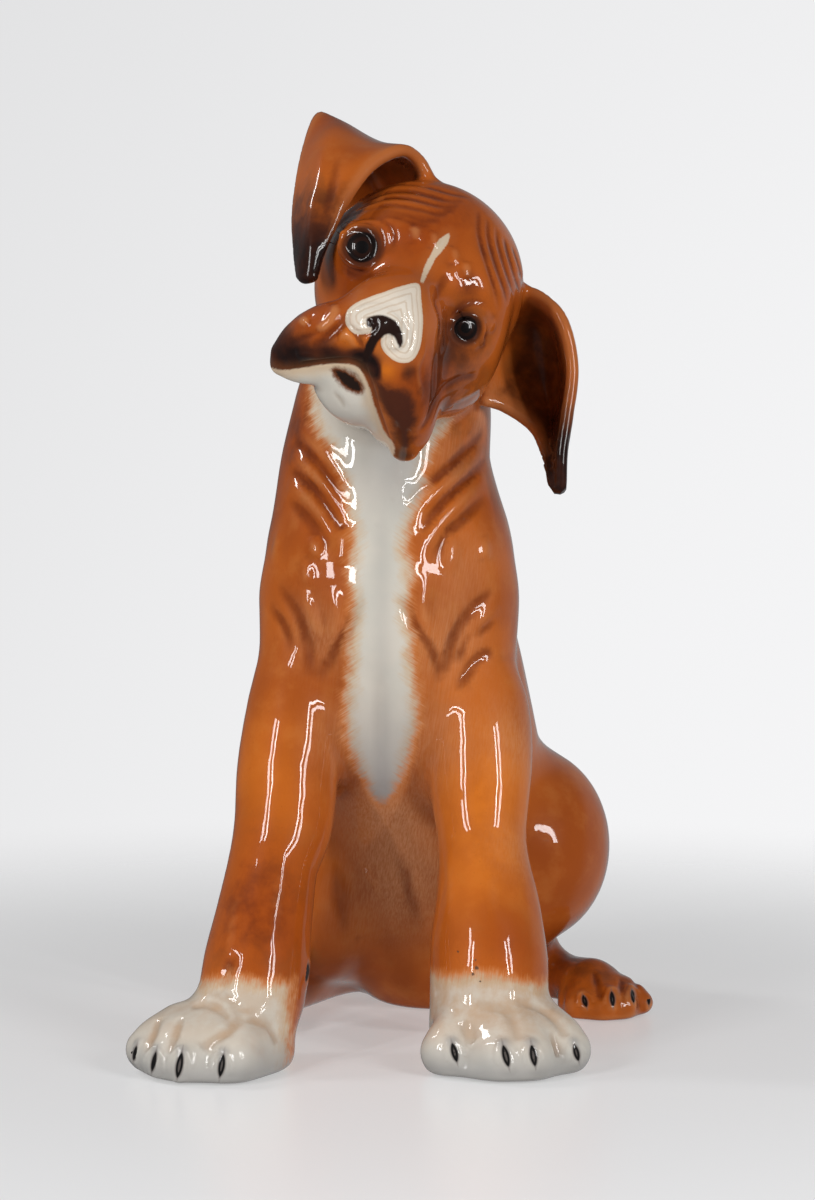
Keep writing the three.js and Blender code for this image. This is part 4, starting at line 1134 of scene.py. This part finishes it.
CARAMEL = (0.36, 0.075, 0.009)
BRIGHT_CARAMEL = (0.50, 0.118, 0.014)
SPRAYED_BROWN = (0.075, 0.018, 0.007)
SPRAYED_BLACK = (0.011, 0.0045, 0.004)
IVORY = (0.60, 0.57, 0.50)
PALE_IVORY = (0.66, 0.61, 0.53)
CREAM = (0.80, 0.71, 0.60)
SPECK_BROWN = (0.07, 0.045, 0.03)

# Dark specks burnt into the glaze on the left foreleg: x, z and radius in millimetres
GLAZE_SPECKS = [(31.5, 55, 0.7), (39.5, 52, 0.7), (40, 48.5, 1.2), (38.2, 45.7, 1.0),
                (41.5, 42.5, 0.5)]


class Nodes:
    """Short names for the few shader nodes that are used. Each gives one output of a node."""

    def __init__(self, owner):
        owner.use_nodes = True
        self.tree = owner.node_tree

    def put(self, socket, value):
        if isinstance(value, bpy.types.NodeSocket):
            self.tree.links.new(value, socket)
        else:
            socket.default_value = (*value, 1) if socket.type == "RGBA" else value

    def fill(self, node, inputs):
        for key, value in inputs.items():
            self.put(node.inputs[key], value)

    def add(self, kind, inputs, output=0, **settings):
        node = self.tree.nodes.new("ShaderNode" + kind)
        for key, value in settings.items():
            setattr(node, key, value)
        self.fill(node, inputs)
        return node.outputs[output]

    def amount(self, name):
        return self.add("Attribute", {}, "Fac", attribute_name=name)

    def place(self):
        return self.add("TexCoord", {}, "Object")

    def stretched(self, vector, lean, size):
        """Coordinates for a texture of this size in metres, leaned about the y axis."""
        inputs = {"Vector": vector, "Rotation": (0, lean, 0), "Scale": size}
        return self.add("Mapping", inputs, vector_type="TEXTURE")

    def noise(self, vector, scale, detail, roughness=0.5):
        inputs = {"Vector": vector, "Scale": scale, "Detail": detail, "Roughness": roughness}
        return self.add("TexNoise", inputs, "Fac")

    def math(self, operation, a, b=0.0, clamp=False):
        return self.add("Math", {0: a, 1: b}, operation=operation, use_clamp=clamp)

    def plus(self, a, b):
        return self.math("ADD", a, b)

    def times(self, a, b, clamp=False):
        return self.math("MULTIPLY", a, b, clamp)

    def vector(self, operation, a, b=(0, 0, 0), output="Value"):
        return self.add("VectorMath", {0: a, 1: b}, output, operation=operation)

    def fade(self, value, start, end, low=0.0, high=1.0):
        inputs = {"Value": value, "From Min": start, "From Max": end, "To Min": low, "To Max": high}
        return self.add("MapRange", inputs, "Result", interpolation_type="SMOOTHSTEP")

    def blend(self, factor, a, b):
        return self.add("Mix", {0: factor, 2: a, 3: b}, data_type="FLOAT")

    def mix(self, factor, a, b):
        return self.add("Mix", {0: factor, 6: a, 7: b}, 2, data_type="RGBA")

    def layers(self, colour, *rows):
        """Tints laid over a colour, each by its own amount."""
        for amount, tint in rows:
            colour = self.mix(amount, colour, tint)
        return colour


def glaze():
    material = bpy.data.materials.new("glaze")
    g = Nodes(material)
    place = g.place()
    x, y, z = [g.add("SeparateXYZ", {0: place}, axis) for axis in range(3)]
    clouds = g.noise(place, 18, 2)
    mottle = g.noise(place, 75, 4, 0.6)
    speckle = g.noise(place, 900, 2, 0.7)
    fuzz = g.times(g.math("SUBTRACT", g.noise(place, 420, 3, 0.7), 0.5), 3.0)
    strands = [g.noise(g.stretched(place, lean, size), 1, 3, 0.7) for lean, size in (
        (0.6, (0.014, 0.010, 0.0007)),
        (-0.6, (0.014, 0.010, 0.0007)),
        (0.15, (0.0007, 0.002, 0.014)),
    )]
    crease, feather, kite, eye, black = map(g.amount, ("crease", "feather", "kite", "eye", "black"))

    def mottled(*span):
        return g.fade(mottle, *span)

    # the edge of the ivory slip is brushed out in hairs
    hair = g.blend(g.fade(x, -0.006, -0.014), strands[0], strands[1])
    hair = g.blend(g.fade(z, 0.10, 0.09), hair, strands[2])
    tufts = g.times(g.math("SUBTRACT", g.noise(place, 160, 2), 0.5), 0.9)
    swing = g.times(g.plus(g.math("SUBTRACT", hair, 0.5), tufts), feather)
    edge = g.plus(g.amount("ivory"), g.times(swing, 1.05))
    dark = g.plus(g.amount("dark"), mottled(0.3, 0.7, -0.12, 0.12))
    left_lip = g.plus(g.amount("left_lip"), mottled(0.2, 0.8, -3, 3))
    caramel = g.layers(
        CARAMEL,
        # cloudy at three sizes, with warmer and deeper places; one warm place is painted light in
        # the shadow beside the right ear
        (g.fade(clouds, 0.35, 0.66), BRIGHT_CARAMEL),
        (g.times(mottled(0.45, 0.75), 0.4), (0.54, 0.17, 0.035)),
        (g.times(g.amount("warm"), mottled(0.2, 0.8, 0.6, 1.1), True), (0.66, 0.17, 0.012)),
        (g.times(g.amount("deep"), mottled(0.2, 0.8, 0.6, 1.0), True), (0.28, 0.042, 0.003)),
        (g.fade(speckle, 0.62, 0.78, 0, 0.3), (0.24, 0.05, 0.008)),
        # sprayed thin, the pale clay shows in strands
        (g.times(g.amount("pale"), g.fade(strands[2], 0.3, 0.7, 0.45, 1.15), True),
         (0.62, 0.28, 0.125)),
        # where it lies thick in hollows it is darker and redder, on edges it breaks paler
        (g.times(g.times(crease, mottled(0.3, 0.7, 0.65, 1.0)), 0.7, True), (0.17, 0.028, 0.004)),
        (g.times(g.amount("ridge"), 0.5, True), (0.62, 0.25, 0.09)),
        # airbrushed
        (g.fade(dark, 0.05, 0.75), SPRAYED_BROWN),
        (g.fade(dark, 0.6, 1.15), SPRAYED_BLACK),
        (g.fade(left_lip, 2.8, -3.2, 0, 0.9), (0.042, 0.012, 0.008)),
        (g.times(g.amount("rim"), 0.7, True), (0.45, 0.14, 0.04)),
        # thin beside the ivory
        (g.times(g.fade(edge, 5.5, 0.5), g.fade(feather, 1, 5, 0.1, 0.75)), (0.60, 0.22, 0.07)),
    )
    creamy = g.fade(g.plus(edge, mottled(0, 1, -2, 2)), -7.0, -0.5)
    bands = g.math("SINE", g.times(g.plus(kite, mottled(0, 1, -1, 1)), 2.4))
    clean = g.layers(
        IVORY,
        (g.fade(g.noise(place, 42, 3), 0.3, 0.7), PALE_IVORY),
        (g.times(creamy, 0.75), (0.62, 0.44, 0.27)),
        (g.times(crease, 0.32, True), (0.36, 0.26, 0.18)),
        (g.times(g.amount("stain"), mottled(0.3, 0.65, 0.25, 0.8)), (0.50, 0.32, 0.19)),
        # greyish outlines round the nails, and painted shade on the throat, chin, toes and foot of
        # the stripe
        (g.times(g.amount("grey_and_shade"), 0.8), (0.27, 0.265, 0.265)),
        # the shield on the nose, with its bands
        (g.fade(kite, 0.5, -1.5, 0, 0.7), CREAM),
        (g.times(g.fade(bands, 0.2, 1.0), g.fade(kite, -0.5, -2.5, 0, 0.42)), (0.50, 0.34, 0.21)),
    )
    soft = g.times(feather, 0.42)
    shown = g.fade(edge, soft, g.times(soft, -1.0))
    leather = g.plus(g.amount("leather"), g.times(fuzz, 0.3))
    lip_spot = g.amount("spot")
    flat = g.vector("MULTIPLY", place, (1, 0, 1), "Vector")
    front_only = g.fade(y, -0.075, -0.08)

    def speck(across, up, size):
        away = g.vector("DISTANCE", flat, ((across - FOOTPRINT[0]) * MM, 0, up * MM))
        ragged = g.plus(away, g.times(fuzz, 0.0005))
        return g.times(g.times(g.fade(ragged, size * MM, 0.4 * size * MM), front_only), 0.85)

    colour = g.layers(
        g.mix(shown, caramel, clean),
        (g.fade(leather, 0.6, -0.6), (0.018, 0.007, 0.005)),
        (g.fade(g.plus(lip_spot, fuzz), 2.2, -0.5), (0.16, 0.045, 0.014)),
        (g.fade(g.plus(lip_spot, g.times(fuzz, 0.7)), 0.2, -1.2), (0.018, 0.009, 0.006)),
        # eyes: the painted surround, the rim, the iris and the pupil
        (g.fade(eye, 13.0, 9.0, 0, 0.9), (0.055, 0.014, 0.006)),
        (g.fade(eye, 8.6, 7.2), (0.008, 0.004, 0.0035)),
        (g.fade(eye, 5.8, 4.8), (0.018, 0.006, 0.0035)),
        (g.fade(eye, 3.6, 3.0), (0.004, 0.003, 0.003)),
        # nails: a greyish outline, the black slit and a painted highlight in its middle
        (g.fade(black, 1.0, 0.2, 0, 0.5), (0.16, 0.13, 0.12)),
        (g.fade(black, 0.35, -0.35), (0.008, 0.007, 0.007)),
        # painted highlight inside the black slit
        (g.fade(black, -0.9, -1.3, 0, 0.22), (0.40, 0.34, 0.31)),
        *[(speck(*row), SPECK_BROWN) for row in GLAZE_SPECKS],
    )
    # the glaze surface is never quite even
    waves = g.plus(g.noise(place, 34, 1), g.times(g.noise(place, 88, 1), 0.22))
    uneven = g.add("Bump", {"Strength": 0.35, "Distance": 0.003, "Height": waves})
    g.fill(g.tree.nodes["Principled BSDF"], {
        "Base Color": colour,
        "Roughness": 0.4,
        "Specular IOR Level": 0.05,
        "Coat Weight": 1.0,
        "Coat Roughness": 0.035,
        "Coat IOR": 1.37,
        "Normal": uneven,
        "Coat Normal": uneven,
    })
    return material


# The studio, in metres

FLOOR_RADIUS = 1.6
FLOOR_DROP = 0.0002
STRIP_DISTANCE = 1.35
STRIP_LENGTH = 0.62
STRIP_UP = 0.62
STRIP_AIM = (0, -0.02, 0.26)
# How far round from the front in degrees, how wide, and the radiance
STRIPS = (("inner", 36, 0.07, 33), ("outer", 45, 0.11, 23))
MIRRORED_SHARE = 0.45

# The camera, its place in the sculptor's frame
CAMERA_PLACE = np.array([8, -1390, 290.0])
CAMERA_TILT_DOWN = 3.15
CAMERA_LENS = 85
CAMERA_SENSOR = 36


def floor():
    material = bpy.data.materials.new("studio_floor")
    g = Nodes(material)
    g.fill(g.tree.nodes["Principled BSDF"], {
        "Base Color": (0.50, 0.50, 0.505),
        "Emission Color": (1, 1, 1),
        "Emission Strength": 0.34,
        "Roughness": 0.32,
        "Alpha": g.fade(g.vector("LENGTH", g.place()), 0.8, 0.2),
    })
    bpy.ops.mesh.primitive_circle_add(vertices=96, radius=FLOOR_RADIUS, fill_type="NGON")
    plate = bpy.context.object
    plate.name = "studio_floor"
    plate.location.z = -FLOOR_DROP
    plate.data.materials.append(material)
    plate.visible_glossy = False


def softbox(name, place, target, width, height, radiance):
    light = bpy.data.lights.new(name, "AREA")
    light.shape = "RECTANGLE"
    light.size = width
    light.size_y = height
    light.energy = radiance * np.pi * width * height
    lamp = bpy.data.objects.new(name, light)
    bpy.context.collection.objects.link(lamp)
    lamp.location = place
    aim = Vector(target) - Vector(place)
    lamp.rotation_euler = aim.to_track_quat("-Z", "Y").to_euler()


def lights():
    for name, side in (("left", -1), ("right", 1)):
        for strip, degrees, width, radiance in STRIPS:
            a = np.radians(degrees)
            place = (side * STRIP_DISTANCE * np.sin(a),
                     STRIP_AIM[1] - STRIP_DISTANCE * np.cos(a), STRIP_UP)
            softbox(f"{name}_{strip}", place, STRIP_AIM, width, STRIP_LENGTH, radiance)
    softbox("high_left", (-1.0, 0.25, 1.15), (-0.03, -0.08, 0.40), 0.12, 0.46, 26)


def surroundings():
    """A white room, brightest behind and to the right, and dimmer where the glaze mirrors it."""
    world = bpy.data.worlds.new("studio")
    bpy.context.scene.world = world
    g = Nodes(world)
    way = g.add("TexCoord", {}, "Generated")

    def towards(direction, start, end, low, high):
        return g.fade(g.vector("DOT_PRODUCT", way, direction), start, end, low, high)

    mirrored = g.fade(g.add("LightPath", {}, "Is Glossy Ray"), 0, 1, 1.0, MIRRORED_SHARE)
    lit = g.tree.nodes["Background"]
    g.fill(lit, {
        "Color": (0.97, 0.98, 1.0),
        "Strength": g.times(towards((0.62, 0.78, -0.25), 0.60, 0.84, 0.24, 0.75), mirrored),
    })
    seen = g.add("Background", {
        "Color": (0.99, 0.99, 1.0),
        "Strength": towards((0.5, 0.8, -0.33), 0.60, 0.92, 0.76, 0.92),
    })
    by_camera = g.add("LightPath", {}, "Is Camera Ray")
    either = g.add("MixShader", {0: by_camera, 1: lit.outputs[0], 2: seen})
    g.fill(g.tree.nodes["World Output"], {0: either})
    bpy.context.scene.view_settings.view_transform = "Standard"


def camera():
    lens = bpy.data.cameras.new("camera")
    lens.lens = CAMERA_LENS
    lens.sensor_width = CAMERA_SENSOR
    viewer = bpy.data.objects.new("camera", lens)
    bpy.context.collection.objects.link(viewer)
    viewer.location = (CAMERA_PLACE - FOOTPRINT) * MM
    viewer.rotation_euler = (np.radians(90 - CAMERA_TILT_DOWN), 0, 0)
    bpy.context.scene.camera = viewer


puppy = figure()
puppy.data.materials.append(glaze())
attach(puppy, "root")
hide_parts("puppy_figurine")
floor()
lights()
surroundings()
camera()
